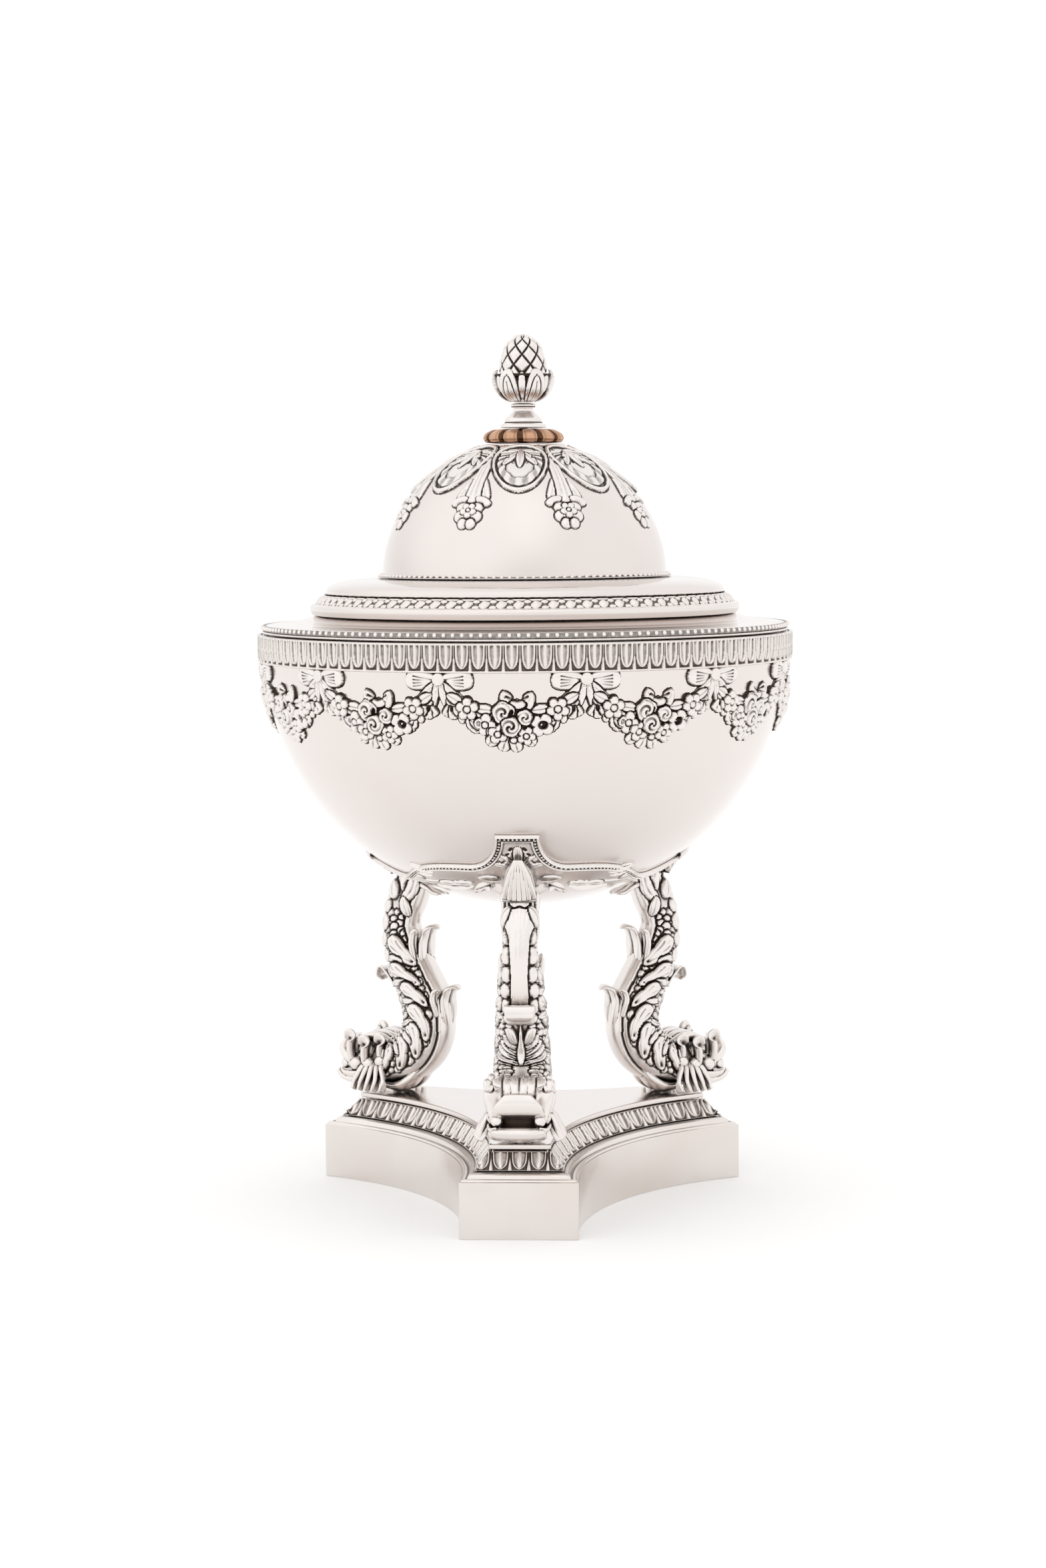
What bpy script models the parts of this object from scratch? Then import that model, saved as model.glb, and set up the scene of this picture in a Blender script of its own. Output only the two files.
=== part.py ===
"""Covered silver sugar bowl on three dolphin legs and a three-cornered plinth.

Frame: metres, +Z up, origin on the table under the bowl's axis, front plinth corner toward -Y.
Every piece is one closed solid.  Pieces that touch keep a gap of FIT between them.
"""
import math

import bmesh
import bpy
import numpy as np
from mathutils import Matrix, Vector

# Overall arrangement
SIDES = 3                       # plinth corners, legs and cradle tabs
FRONT_ANGLE = -math.pi / 2      # azimuth of the front corner
FIT = 0.0003                    # gap between pieces that touch
RING_STEPS = 40                 # facets around the large turned pieces
SMALL_STEPS = 24                # facets around the small turned pieces

# Plinth
CORNER_DISTANCE = 0.0573        # axis to the flat face of a corner
CORNER_WIDTH = 0.0305           # width of that flat face
SIDE_SCOOP = 0.0134             # depth of the hollow side below its chord
WALL_HEIGHT = 0.0146
SHEET = 0.0012                  # thickness of the plinth's sheet
FOOT_LEDGE = 0.0060             # width of the flat turned-in edge that stands on the table
LEAF_BAND_INSET = 0.0034        # wall face to the lower edge of the leaf band
LEAF_BAND_RUN = 0.0034          # horizontal run of the sloping leaf band
LEAF_BAND_RISE = 0.0045
LEAF_BAND_RELIEF = 0.0009
BAND_PLINTH_GAP = 0.0023        # wall top to the lower edge of the leaf band
DECK_EDGE = 0.0010              # height of the deck's edge moulding
DECK_INSET = 0.0002             # leaf band's upper edge to the deck's edge
SIDE_STEPS = 10                 # facets along each hollow side

# Bowl
BOWL_RADIUS = 0.0698
BOWL_WALL = 0.0012
BOWL_LIFT = 0.1253              # deck top to the centre of the bowl's sphere
RIM_RISE = 0.0028               # sphere centre to the rim
RIM_BAND_HEIGHT = 0.0074
RIM_BAND_THICKNESS = 0.0009
BOWL_ARCS = 9                   # facets from the rim to the bottom

# Garland under the rim
SWAG_COUNT = 12
SWAG_DROP = 0.0190              # rim band to the lowest petal, along the bowl
SWAG_ARM_WIDTH = 0.0040
SWAG_CLUSTER_WIDTH = 0.0125
SWAG_RELIEF = 0.0019
SWAG_STATIONS = 9
BOW_WIDTH = 0.0086
BOW_HEIGHT = 0.0052
BOW_RELIEF = 0.0012
BOW_BELOW_BAND = 0.0030         # rim band to the middle of a bow

# Cradle ring that carries the bowl
CRADLE_THICKNESS = 0.0009
CRADLE_GAP = 0.0003
CRADLE_INNER_POLAR = math.radians(29.5)
CRADLE_EDGE_POLAR = math.radians(38.4)
CRADLE_WAIST_POLAR = math.radians(31.2)
CRADLE_WAIST_DELAY = 1.6
CRADLE_TAB_POLAR = math.radians(48.8)
CRADLE_TAB_HALF = math.radians(6.2)
CRADLE_TAB_FILLET = math.radians(10.8)

# Dolphin legs
LEG_SETBACK = 0.0208            # corner face to the middle of the body where it turns outward
LEG_TOP_POLAR = math.radians(30.3)
LEG_BULGE = 0.0054              # how far the upper body swings outside the straight line
LEG_HOLLOW = 0.0047             # how far the lower body swings inside it
LEG_TOP_HALF = 0.0042
LEG_NECK_HALF = 0.0048
LEG_CHEST_HALF = 0.0066
LEG_HEAD_HALF = 0.0062
LEG_TOP_BREADTH = 0.0037
LEG_CHEST_BREADTH = 0.0056
LEG_HEAD_BREADTH = 0.0068
HEAD_LENGTH = 0.0205            # foot radius to the tip of the snout
SNOUT_RISE = 0.0146             # deck to the tip of the turned-up snout
FIN_SPREAD = 0.0114             # leg's middle plane to the tip of a chin fin
FIN_RADIUS = 0.0043             # half length of a chin fin at its broadest
CURL_THICKNESS = 0.0022         # half depth of a curled leaf at its root
LEG_SECTION_POINTS = 12
LEG_STATIONS = 17
LEG_NUT_CLEARANCE = 0.0006      # leg nut to the wall's turned-in top
LEG_STUD_RADIUS = 0.0016
LEG_STUD_LENGTH = 0.0085
LEG_NUT_HEIGHT = 0.0022
LEG_NUT_RADIUS = 0.0036
STUD_REACH = 0.0040             # how far a stud goes up into the leg
STUD_STEPS = 12                 # facets around a stud, a nut and their holes
DRILL_OVERRUN = 0.0020          # how far a drill runs past a face

# Lid
LID_EDGE_INSET = 0.0008         # rim band's face to the lid's edge
LID_EDGE_HEIGHT = 0.0020
FLANGE_WIDTH = 0.0148           # lid edge to the foot of the leaf ring
FLANGE_RISE = 0.0026
LID_SHEET = 0.0010
BEZEL_DEPTH = 0.0050
BEZEL_WALL = 0.0010
BEZEL_CLEARANCE = 0.0005
LEAF_RING_BULGE = 0.0016
LEAF_RING_HEIGHT = 0.0050
LEAF_RING_SLOPE = 0.0034
STEP_WIDTH = 0.0156             # outer edge of the domed step to the dome's foot
STEP_RISE = 0.0039
BEAD_WIRE_RADIUS = 0.00055
DOME_RISE = 0.0354              # full height of the dome's ellipse
DOME_ARCS = 7
CALYX_PETALS = 8
CALYX_REACH = 0.0300            # radius reached by the palmettes of the calyx on the dome
CALYX_PENDANT_REACH = 0.0352    # radius reached by the pendants between them
CALYX_STATIONS = 20             # facets around one palmette and its pendant
CALYX_ARCS = 5                  # facets from the calyx's inner edge to its tips
CALYX_RELIEF = 0.0008

# Finial
STUD_RADIUS = 0.0012
BORE_CLEARANCE = 0.0003
DISC_RADIUS = 0.0111
DISC_HEIGHT = 0.0008
COLLAR_RADIUS = 0.0110
COLLAR_HEIGHT = 0.0037
COLLAR_LOBES = 12
COLLAR_GROOVE = 0.0009          # depth of the grooves between the lobes
STEM_FOOT_RADIUS = 0.0061
STEM_WAIST_RADIUS = 0.0029
STEM_HEIGHT = 0.0065
CUP_RADIUS = 0.0082
CUP_HEIGHT = 0.0081
CONE_RADIUS = 0.0064
CONE_HEIGHT = 0.0113
WASHER_RADIUS = 0.0038
WASHER_HEIGHT = 0.0007
NUT_RADIUS = 0.0032
NUT_HEIGHT = 0.0022
STUD_TAIL = 0.0020              # stud below the nut

# Heights and radii that follow from the sizes above
BAND_FOOT_Z = WALL_HEIGHT + BAND_PLINTH_GAP
BAND_TOP_Z = BAND_FOOT_Z + LEAF_BAND_RISE
DECK_Z = BAND_TOP_Z + FIT + DECK_EDGE + FIT
DECK_OFFSET = LEAF_BAND_INSET + LEAF_BAND_RUN + DECK_INSET
BOWL_Z = DECK_Z + BOWL_LIFT
RIM_Z = BOWL_Z + RIM_RISE
BAND_RADIUS = BOWL_RADIUS + FIT + RIM_BAND_THICKNESS
BAND_BOTTOM_Z = RIM_Z - RIM_BAND_HEIGHT
LID_Z = RIM_Z + FIT
LID_RADIUS = BAND_RADIUS - LID_EDGE_INSET
LEAF_RING_RADIUS = LID_RADIUS - FLANGE_WIDTH
LEAF_RING_Z = LID_Z + LID_EDGE_HEIGHT + FLANGE_RISE + FIT
STEP_Z = LEAF_RING_Z + LEAF_RING_HEIGHT + FIT
STEP_RADIUS = LEAF_RING_RADIUS - LEAF_RING_SLOPE + LEAF_RING_BULGE - FIT
DOME_RADIUS = STEP_RADIUS - STEP_WIDTH
DOME_Z = STEP_Z + STEP_RISE + FIT
LEG_FOOT_RADIUS = CORNER_DISTANCE - LEG_SETBACK
WALL_LIP_INSET = LEAF_BAND_INSET + LEAF_BAND_RUN + LEAF_BAND_RELIEF + FIT + 2 * SHEET
STUD_AXIS = CORNER_DISTANCE - WALL_LIP_INSET - LEG_NUT_CLEARANCE - LEG_NUT_RADIUS
BORE_RADIUS = STUD_RADIUS + BORE_CLEARANCE
DOME_SHOULDER = DISC_RADIUS + FIT
DOME_TOP_Z = DOME_Z + DOME_RISE * math.sqrt(1 - (DOME_SHOULDER / DOME_RADIUS) ** 2)
DISC_Z = DOME_TOP_Z + FIT
COLLAR_Z = DISC_Z + DISC_HEIGHT + FIT
STEM_Z = COLLAR_Z + COLLAR_HEIGHT + FIT
CUP_Z = STEM_Z + STEM_HEIGHT + FIT

SILVER = (0.78, 0.74, 0.71)
DARK_SILVER = (0.46, 0.42, 0.39)
BROWN_GILT = (0.50, 0.29, 0.15)


def clear_scene():
    for item in list(bpy.data.objects):
        bpy.data.objects.remove(item, do_unlink=True)


def material(name, colour, roughness):
    metal = bpy.data.materials.new(name + "_material")
    metal.use_nodes = True
    shader = metal.node_tree.nodes["Principled BSDF"]
    shader.inputs["Base Color"].default_value = (*colour, 1.0)
    shader.inputs["Roughness"].default_value = roughness
    shader.inputs["Metallic"].default_value = 1.0
    return metal


def add_object(name, mesh, colour=SILVER, roughness=0.22):
    """Put a mesh in the scene as one named piece with its own material."""
    mesh.materials.clear()
    mesh.materials.append(material(name, colour, roughness))
    mesh.shade_smooth()
    mesh.set_sharp_from_angle(angle=math.radians(40))
    piece = bpy.data.objects.new(name, mesh)
    bpy.context.scene.collection.objects.link(piece)
    return piece


def finished_mesh(name, work):
    """Close the bmesh: merge seam points, turn the faces outward and return a mesh."""
    bmesh.ops.remove_doubles(work, verts=work.verts, dist=1e-7)
    bmesh.ops.recalc_face_normals(work, faces=work.faces)
    mesh = bpy.data.meshes.new(name)
    work.to_mesh(mesh)
    work.free()
    return mesh


def turned_mesh(name, outline, steps):
    """Spin a closed outline of (radius, height) points around the Z axis."""
    work = bmesh.new()
    points = [work.verts.new((radius, 0.0, height)) for radius, height in outline]
    edges = []
    for first, second in zip(points, points[1:] + points[:1]):
        on_axis = first.co.x < 1e-7 and second.co.x < 1e-7
        if not on_axis:
            edges.append(work.edges.new((first, second)))
    bmesh.ops.spin(work, geom=points + edges, cent=(0, 0, 0), axis=(0, 0, 1),
                   angle=2 * math.pi, steps=steps, use_merge=True)
    return finished_mesh(name, work)


def turned(name, outline, steps=RING_STEPS, **looks):
    return add_object(name, turned_mesh(name, outline, steps), **looks)


def loft_mesh(name, rings, closed=False):
    """Skin a list of rings of points; the ends are capped unless the rings close on themselves."""
    work = bmesh.new()
    loops = [[work.verts.new(point) for point in ring] for ring in rings]
    pairs = list(zip(loops, loops[1:]))
    if closed:
        pairs.append((loops[-1], loops[0]))
    else:
        work.faces.new(loops[0])
        work.faces.new(loops[-1])
    count = len(rings[0])
    for near, far in pairs:
        for index in range(count):
            after = (index + 1) % count
            work.faces.new((near[index], near[after], far[after], far[index]))
    return finished_mesh(name, work)


def loft(name, rings, closed=False, **looks):
    return add_object(name, loft_mesh(name, rings, closed), **looks)


def smooth_path(knots, count):
    """Catmull-Rom points through the knots, evenly spaced by knot number."""
    knots = np.array(knots, dtype=float)
    padded = np.vstack([2 * knots[0] - knots[1], knots, 2 * knots[-1] - knots[-2]])
    found = []
    for place in np.linspace(0, len(knots) - 1, count):
        index = min(int(place), len(knots) - 2)
        t = place - index
        before, start, end, after = padded[index:index + 4]
        found.append(0.5 * (2 * start + (end - before) * t
                            + (2 * before - 5 * start + 4 * end - after) * t ** 2
                            + (3 * start - before - 3 * end + after) * t ** 3))
    return found


def on_sphere(azimuth, polar, outside):
    """A point above the bowl's sphere; polar is measured from straight down."""
    radius = BOWL_RADIUS + outside
    return Vector((radius * math.sin(polar) * math.cos(azimuth),
                   radius * math.sin(polar) * math.sin(azimuth),
                   BOWL_Z - radius * math.cos(polar)))


def corner_angle(index):
    return FRONT_ANGLE + index * 2 * math.pi / SIDES


# ---------------------------------------------------------------- plinth

def side_arc():
    """Centre distance and radius of the hollow side's arc."""
    half_turn = math.pi / SIDES
    half = CORNER_WIDTH / 2
    along = CORNER_DISTANCE * math.sin(half_turn) - half * math.cos(half_turn)
    out = CORNER_DISTANCE * math.cos(half_turn) + half * math.sin(half_turn)
    radius = (along ** 2 + SIDE_SCOOP ** 2) / (2 * SIDE_SCOOP)
    return out - SIDE_SCOOP + radius, radius


def corner_half_width(inset):
    """Half the corner face's width once the outline has moved in by the inset."""
    centre, radius = side_arc()
    half_turn = math.pi / SIDES
    face = CORNER_DISTANCE - inset
    across = centre * math.sin(half_turn)
    reach = face - centre * math.cos(half_turn)
    return across - math.sqrt((radius + inset) ** 2 - reach ** 2)


def plinth_outline(inset, pieces="all"):
    """Points (x, y) of the outline moved in by the inset, as a list of (kind, corner, points)."""
    centre, radius = side_arc()
    half = corner_half_width(inset)
    found = []
    for index in range(SIDES):
        angle = corner_angle(index)
        out = Vector((math.cos(angle), math.sin(angle)))
        across = Vector((-out.y, out.x))
        face = out * (CORNER_DISTANCE - inset)
        found.append(("corner", index, [face - across * half, face + across * half]))
        middle = angle + math.pi / SIDES
        hub = Vector((math.cos(middle), math.sin(middle))) * centre
        first = face + across * half - hub
        start = math.atan2(first.y, first.x)
        back = middle + math.pi
        span = (back - start + math.pi) % (2 * math.pi) - math.pi
        points = []
        for step in range(SIDE_STEPS + 1):
            turn = start + 2 * span * step / SIDE_STEPS
            points.append(hub + Vector((math.cos(turn), math.sin(turn))) * (radius + inset))
        found.append(("side", index, points))
    return found


def full_outline(inset):
    points = []
    for kind, _, stretch in plinth_outline(inset):
        points += stretch if kind == "corner" else stretch[1:-1]
    return points


def swept_rings(section):
    """One ring per outline station, from a closed section of (inset, height) points."""
    columns = [full_outline(inset) for inset, _ in section]
    rings = []
    for station in range(len(columns[0])):
        rings.append([Vector((*column[station], height))
                      for column, (_, height) in zip(columns, section)])
    return rings


def band_section(front, back):
    """Sloping parallelogram from the band's foot to its top, between two depths."""
    foot = LEAF_BAND_INSET
    top = LEAF_BAND_INSET + LEAF_BAND_RUN
    return [(foot + front, BAND_FOOT_Z), (top + front, BAND_TOP_Z),
            (top + back, BAND_TOP_Z), (foot + back, BAND_FOOT_Z)]


def build_plinth():
    seat = LEAF_BAND_RELIEF + FIT
    foot = LEAF_BAND_INSET
    top = foot + LEAF_BAND_RUN
    ledge_z = BAND_FOOT_Z - FIT
    wall = [
        (0.0, 0.0),
        (0.0, WALL_HEIGHT),
        (0.18 * foot, WALL_HEIGHT + 0.26 * BAND_PLINTH_GAP),
        (0.53 * foot, WALL_HEIGHT + 0.35 * BAND_PLINTH_GAP),
        (0.65 * foot, ledge_z - 0.10 * BAND_PLINTH_GAP),
        (0.82 * foot, ledge_z),
        (foot + seat, ledge_z),
        (top + seat, BAND_TOP_Z),
        (WALL_LIP_INSET, BAND_TOP_Z),
        (WALL_LIP_INSET, BAND_TOP_Z - SHEET),
        (top + seat, BAND_TOP_Z - 1.8 * SHEET),
        (foot + seat, ledge_z - SHEET),
        (SHEET, WALL_HEIGHT - 0.33 * SHEET),
        (SHEET, SHEET),
        (FOOT_LEDGE, SHEET),
        (FOOT_LEDGE, 0.0),
    ]
    loft("plinth_wall", swept_rings(wall), closed=True, roughness=0.18)

    deck_bottom = BAND_TOP_Z + FIT
    deck = full_outline(DECK_OFFSET)
    rounding = 0.3 * DECK_EDGE
    rounded = full_outline(DECK_OFFSET + rounding)
    rings = [[Vector((*point, height)) for point in outline]
             for outline, height in ((rounded, deck_bottom), (deck, deck_bottom + rounding),
                                     (deck, DECK_Z - rounding), (rounded, DECK_Z))]
    loft("plinth_deck", rings, roughness=0.10)

    section = band_section(0.0, LEAF_BAND_RELIEF)
    outlines = [plinth_outline(inset) for inset, _ in section]
    for place, (kind, index, _) in enumerate(outlines[0]):
        stretches = [outline[place][2] for outline in outlines]
        rings = []
        for station in range(len(stretches[0])):
            rings.append([Vector((*stretch[station], height))
                          for stretch, (_, height) in zip(stretches, section)])
        trim_ends(rings)
        loft(f"leaf_strip_{kind}_{index + 1}", rings, colour=DARK_SILVER, roughness=0.3)


def trim_ends(rings):
    """Shorten a strip by half a gap at both ends, so that the mitred neighbours stay apart."""
    for end, inner in ((0, 1), (-1, -2)):
        for corner in range(len(rings[end])):
            inward = (rings[inner][corner] - rings[end][corner]).normalized()
            rings[end][corner] = rings[end][corner] + inward * FIT


# ---------------------------------------------------------------- dolphin legs

def leg_knots():
    """(radius, height, half depth, half breadth) along the dolphin, tail to snout."""
    clear = BOWL_RADIUS + CRADLE_GAP + CRADLE_THICKNESS + FIT
    top_radius = clear * math.sin(LEG_TOP_POLAR)
    top_z = BOWL_Z - clear * math.cos(LEG_TOP_POLAR)
    height = top_z - DECK_Z

    def spot(share, swing, depth, breadth):
        radius = LEG_FOOT_RADIUS + (top_radius - LEG_FOOT_RADIUS) * share + swing
        return radius, DECK_Z + height * share, depth, breadth

    upper = [
        spot(1.00, 0.0, LEG_TOP_HALF, LEG_TOP_BREADTH),
        spot(0.91, 0.15 * LEG_BULGE, LEG_TOP_HALF, LEG_TOP_BREADTH),
        spot(0.83, 0.50 * LEG_BULGE, LEG_NECK_HALF, LEG_TOP_BREADTH * 1.15),
        spot(0.74, LEG_BULGE, LEG_NECK_HALF * 0.96, LEG_TOP_BREADTH * 1.2),
        spot(0.65, 0.72 * LEG_BULGE, LEG_NECK_HALF * 1.04, LEG_TOP_BREADTH * 1.25),
        spot(0.57, 0.35 * LEG_BULGE, LEG_NECK_HALF * 1.14, LEG_CHEST_BREADTH * 0.85),
        spot(0.48, -0.16 * LEG_HOLLOW, LEG_CHEST_HALF * 0.92, LEG_CHEST_BREADTH * 0.94),
        spot(0.395, -0.87 * LEG_HOLLOW, LEG_CHEST_HALF, LEG_CHEST_BREADTH),
        spot(0.30, -LEG_HOLLOW, LEG_CHEST_HALF * 0.94, LEG_CHEST_BREADTH * 1.07),
        spot(0.212, -0.70 * LEG_HOLLOW, LEG_CHEST_HALF * 0.98, LEG_CHEST_BREADTH * 1.12),
    ]
    low = DECK_Z + FIT + LEG_HEAD_HALF

    def head_spot(along, lift, depth, breadth):
        return (LEG_FOOT_RADIUS + HEAD_LENGTH * along, low + SNOUT_RISE * lift,
                LEG_HEAD_HALF * depth, LEG_HEAD_BREADTH * breadth)

    head = [
        head_spot(0.04, 0.15, 1.10, 0.95),
        head_spot(0.30, 0.02, 1.00, 1.00),
        head_spot(0.585, 0.02, 1.00, 1.02),
        head_spot(0.82, 0.12, 0.83, 1.00),
        head_spot(0.97, 0.34, 0.44, 0.93),
        head_spot(1.00, (SNOUT_RISE - FIT - LEG_HEAD_HALF) / SNOUT_RISE, 0.22, 0.75),
    ]
    return upper + head


def section_ring(middle, direction, depth, breadth):
    """Rounded section across a path in the XZ plane; Y is the leg's breadth."""
    side = Vector((direction.z, 0.0, -direction.x))
    ring = []
    for step in range(LEG_SECTION_POINTS):
        turn = 2 * math.pi * step / LEG_SECTION_POINTS
        ring.append(middle + side * depth * math.cos(turn)
                    + Vector((0.0, breadth * math.sin(turn), 0.0)))
    return ring


def path_rings(knots, count, first_direction=None):
    """Rings across a path of (radius, height, half depth, half breadth) knots."""
    spots = smooth_path(knots, count)
    places = [Vector((spot[0], 0.0, spot[1])) for spot in spots]
    rings = []
    for index, spot in enumerate(spots):
        ahead = places[min(index + 1, count - 1)]
        behind = places[max(index - 1, 0)]
        direction = (ahead - behind).normalized()
        if index == 0 and first_direction is not None:
            direction = first_direction
        rings.append(section_ring(places[index], direction, spot[2], spot[3]))
    return rings


def chin_fin(side):
    """Fan-shaped fin beside the jaw, its toes just above the deck."""
    root = Vector((LEG_FOOT_RADIUS + 0.41 * HEAD_LENGTH, side * LEG_HEAD_BREADTH * 0.6,
                   DECK_Z + 0.58 * SNOUT_RISE))
    tip = Vector((LEG_FOOT_RADIUS + 0.56 * HEAD_LENGTH, side * FIN_SPREAD,
                  DECK_Z + 0.25 * SNOUT_RISE))
    rings = []
    for share, fullness in ((0.0, 0.47), (0.45, 0.88), (0.8, 1.0), (1.0, 0.60)):
        middle = root.lerp(tip, share)
        radius = FIN_RADIUS * fullness
        ring = []
        for step in range(8):
            turn = math.tau * step / 8
            ring.append(middle + Vector((radius * 1.15 * math.cos(turn), 0.0,
                                         radius * 0.7 * math.sin(turn))))
        rings.append(ring)
    return rings


def leaf_curl(root_share, side, length, lift, breadth):
    """Curled leaf on the leg's body; side +1 is the outer face and -1 the inner face."""
    knots = leg_knots()[:10]
    spots = smooth_path(knots, 101)
    spot = spots[int(round(root_share * 100))]
    base = spot[0] + side * spot[2] * 0.55
    path = [
        (base, spot[1], CURL_THICKNESS, breadth),
        (base + side * 0.6 * length, spot[1] + 0.35 * lift, 0.73 * CURL_THICKNESS, breadth * 0.85),
        (base + side * length, spot[1] + lift, 0.23 * CURL_THICKNESS, breadth * 0.4),
    ]
    return path_rings(path, 5)


def combined_mesh(name, solids, operation):
    """Boolean of the first closed solid with each of the others, as one mesh."""
    pieces = []
    for index, mesh in enumerate(solids):
        piece = bpy.data.objects.new(f"{name}_blank_{index}", mesh)
        bpy.context.scene.collection.objects.link(piece)
        pieces.append(piece)
    base = pieces[0]
    for piece in pieces[1:]:
        change = base.modifiers.new("change", "BOOLEAN")
        change.operation = operation
        change.solver = "EXACT"
        change.object = piece
    graph = bpy.context.evaluated_depsgraph_get()
    mesh = bpy.data.meshes.new_from_object(base.evaluated_get(graph))
    for piece in pieces:
        bpy.data.objects.remove(piece, do_unlink=True)
    mesh.name = name
    return mesh


def stud_drill(foot, depth):
    """Drill for a stud's clearance hole, from just below the foot height upward."""
    outline = post_outline(LEG_STUD_RADIUS + FIT, foot - DRILL_OVERRUN, depth + DRILL_OVERRUN)
    return turned_mesh("drill", outline, STUD_STEPS)


def build_legs():
    knots = leg_knots()
    toward_bowl = Vector((math.sin(LEG_TOP_POLAR), 0.0, -math.cos(LEG_TOP_POLAR)))
    body = loft_mesh("body", path_rings(knots, LEG_STATIONS, toward_bowl))
    solids = [
        body,
        loft_mesh("fin_left", chin_fin(1)),
        loft_mesh("fin_right", chin_fin(-1)),
        loft_mesh("outer_leaf", leaf_curl(0.60, 1, 0.0066, -0.0012, 0.0030)),
        loft_mesh("upper_leaf", leaf_curl(0.36, -1, 0.0062, 0.0040, 0.0030)),
        loft_mesh("lower_leaf", leaf_curl(0.70, -1, 0.0078, 0.0030, 0.0036)),
    ]
    casting = combined_mesh("dolphin", solids, "UNION")
    tool = stud_drill(DECK_Z, STUD_REACH + FIT)
    tool.transform(Matrix.Translation((STUD_AXIS, 0.0, 0.0)))
    casting = combined_mesh("dolphin_bored", [casting, tool], "DIFFERENCE")

    nut_top = BAND_TOP_Z
    for index in range(SIDES):
        turn = Matrix.Rotation(corner_angle(index), 4, "Z")
        leg_mesh = casting.copy()
        leg_mesh.transform(turn)
        add_object(f"dolphin_leg_{index + 1}", leg_mesh, roughness=0.26)
        centre = turn @ Vector((STUD_AXIS, 0.0, 0.0))
        stud = turned_mesh("stud", post_outline(LEG_STUD_RADIUS, 0.0, LEG_STUD_LENGTH), STUD_STEPS)
        stud.transform(Matrix.Translation(
            (centre.x, centre.y, DECK_Z + STUD_REACH - LEG_STUD_LENGTH)))
        add_object(f"leg_stud_{index + 1}", stud, colour=DARK_SILVER, roughness=0.4)
        nut = nut_mesh("nut", LEG_NUT_RADIUS, LEG_STUD_RADIUS + FIT, LEG_NUT_HEIGHT)
        nut.transform(Matrix.Translation((centre.x, centre.y, nut_top - LEG_NUT_HEIGHT)))
        add_object(f"leg_nut_{index + 1}", nut, colour=DARK_SILVER, roughness=0.4)


def drill_deck():
    """Clearance holes for the leg studs through the deck."""
    deck = bpy.data.objects["plinth_deck"]
    for index in range(SIDES):
        mesh = stud_drill(BAND_TOP_Z, DECK_Z - BAND_TOP_Z + DRILL_OVERRUN)
        turn = Matrix.Rotation(corner_angle(index), 4, "Z")
        mesh.transform(turn @ Matrix.Translation((STUD_AXIS, 0.0, 0.0)))
        tool = bpy.data.objects.new(f"deck_drill_{index + 1}", mesh)
        tool.hide_render = True
        tool.display_type = "WIRE"
        bpy.context.scene.collection.objects.link(tool)
        cut = deck.modifiers.new(f"stud_hole_{index + 1}", "BOOLEAN")
        cut.operation = "DIFFERENCE"
        cut.solver = "EXACT"
        cut.object = tool


def post_outline(radius, foot, height):
    return [(0.0, foot), (radius, foot), (radius, foot + height), (0.0, foot + height)]


def nut_mesh(name, radius, bore, height):
    """Hexagonal nut standing on z = 0, with a round bore."""
    outer = []
    for step in range(STUD_STEPS):
        turn = math.tau * step / STUD_STEPS
        flat = radius if step % 2 == 0 else radius * math.cos(math.pi / 6)
        outer.append((flat * math.cos(turn), flat * math.sin(turn)))
    inner = [(bore * math.cos(math.tau * step / STUD_STEPS),
              bore * math.sin(math.tau * step / STUD_STEPS)) for step in range(STUD_STEPS)]
    rings = []
    for out, hole in zip(outer, inner):
        rings.append([Vector((*out, 0.0)), Vector((*out, height)),
                      Vector((*hole, height)), Vector((*hole, 0.0))])
    return loft_mesh(name, rings, closed=True)


# ---------------------------------------------------------------- cradle and bowl

def cradle_edge(azimuth):
    """Polar angle of the cradle's edge: a tab over each leg, sinking to a waist between legs."""
    nearest = min(abs((azimuth - corner_angle(index) + math.pi) % math.tau - math.pi)
                  for index in range(SIDES))
    if nearest <= CRADLE_TAB_HALF:
        return CRADLE_TAB_POLAR
    share = 1 - (nearest - CRADLE_TAB_HALF) / CRADLE_TAB_FILLET
    if share > 0:
        reach = CRADLE_TAB_POLAR - CRADLE_EDGE_POLAR
        return CRADLE_EDGE_POLAR + reach * (1 - math.sqrt(1 - share ** 2))
    start = CRADLE_TAB_HALF + CRADLE_TAB_FILLET
    sweep = (nearest - start) / (math.pi / SIDES - start)
    drop = (CRADLE_EDGE_POLAR - CRADLE_WAIST_POLAR) / 2
    return CRADLE_EDGE_POLAR - drop * (1 - math.cos(math.pi * sweep ** CRADLE_WAIST_DELAY))


def build_cradle():
    offsets = [0.0, 1.0, 1.08, 1.3, 1.8, 2.4, 3.2]
    stations = []
    for index in range(SIDES):
        angle = corner_angle(index)
        spread = [share * CRADLE_TAB_HALF for share in offsets]
        spread += [math.pi / SIDES * share for share in (0.45, 0.6, 0.75, 0.9)]
        stations += [angle - share for share in reversed(spread[1:])]
        stations += [angle + share for share in spread]
        stations.append(angle + math.pi / SIDES)
    rings = []
    for azimuth in stations:
        edge = cradle_edge(azimuth)
        polars = [CRADLE_INNER_POLAR + (edge - CRADLE_INNER_POLAR) * share / 3
                  for share in range(4)]
        inner = [on_sphere(azimuth, polar, CRADLE_GAP) for polar in polars]
        outer = [on_sphere(azimuth, polar, CRADLE_GAP + CRADLE_THICKNESS)
                 for polar in reversed(polars)]
        rings.append(inner + outer)
    loft("cradle_ring", rings, closed=True, roughness=0.24)


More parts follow.
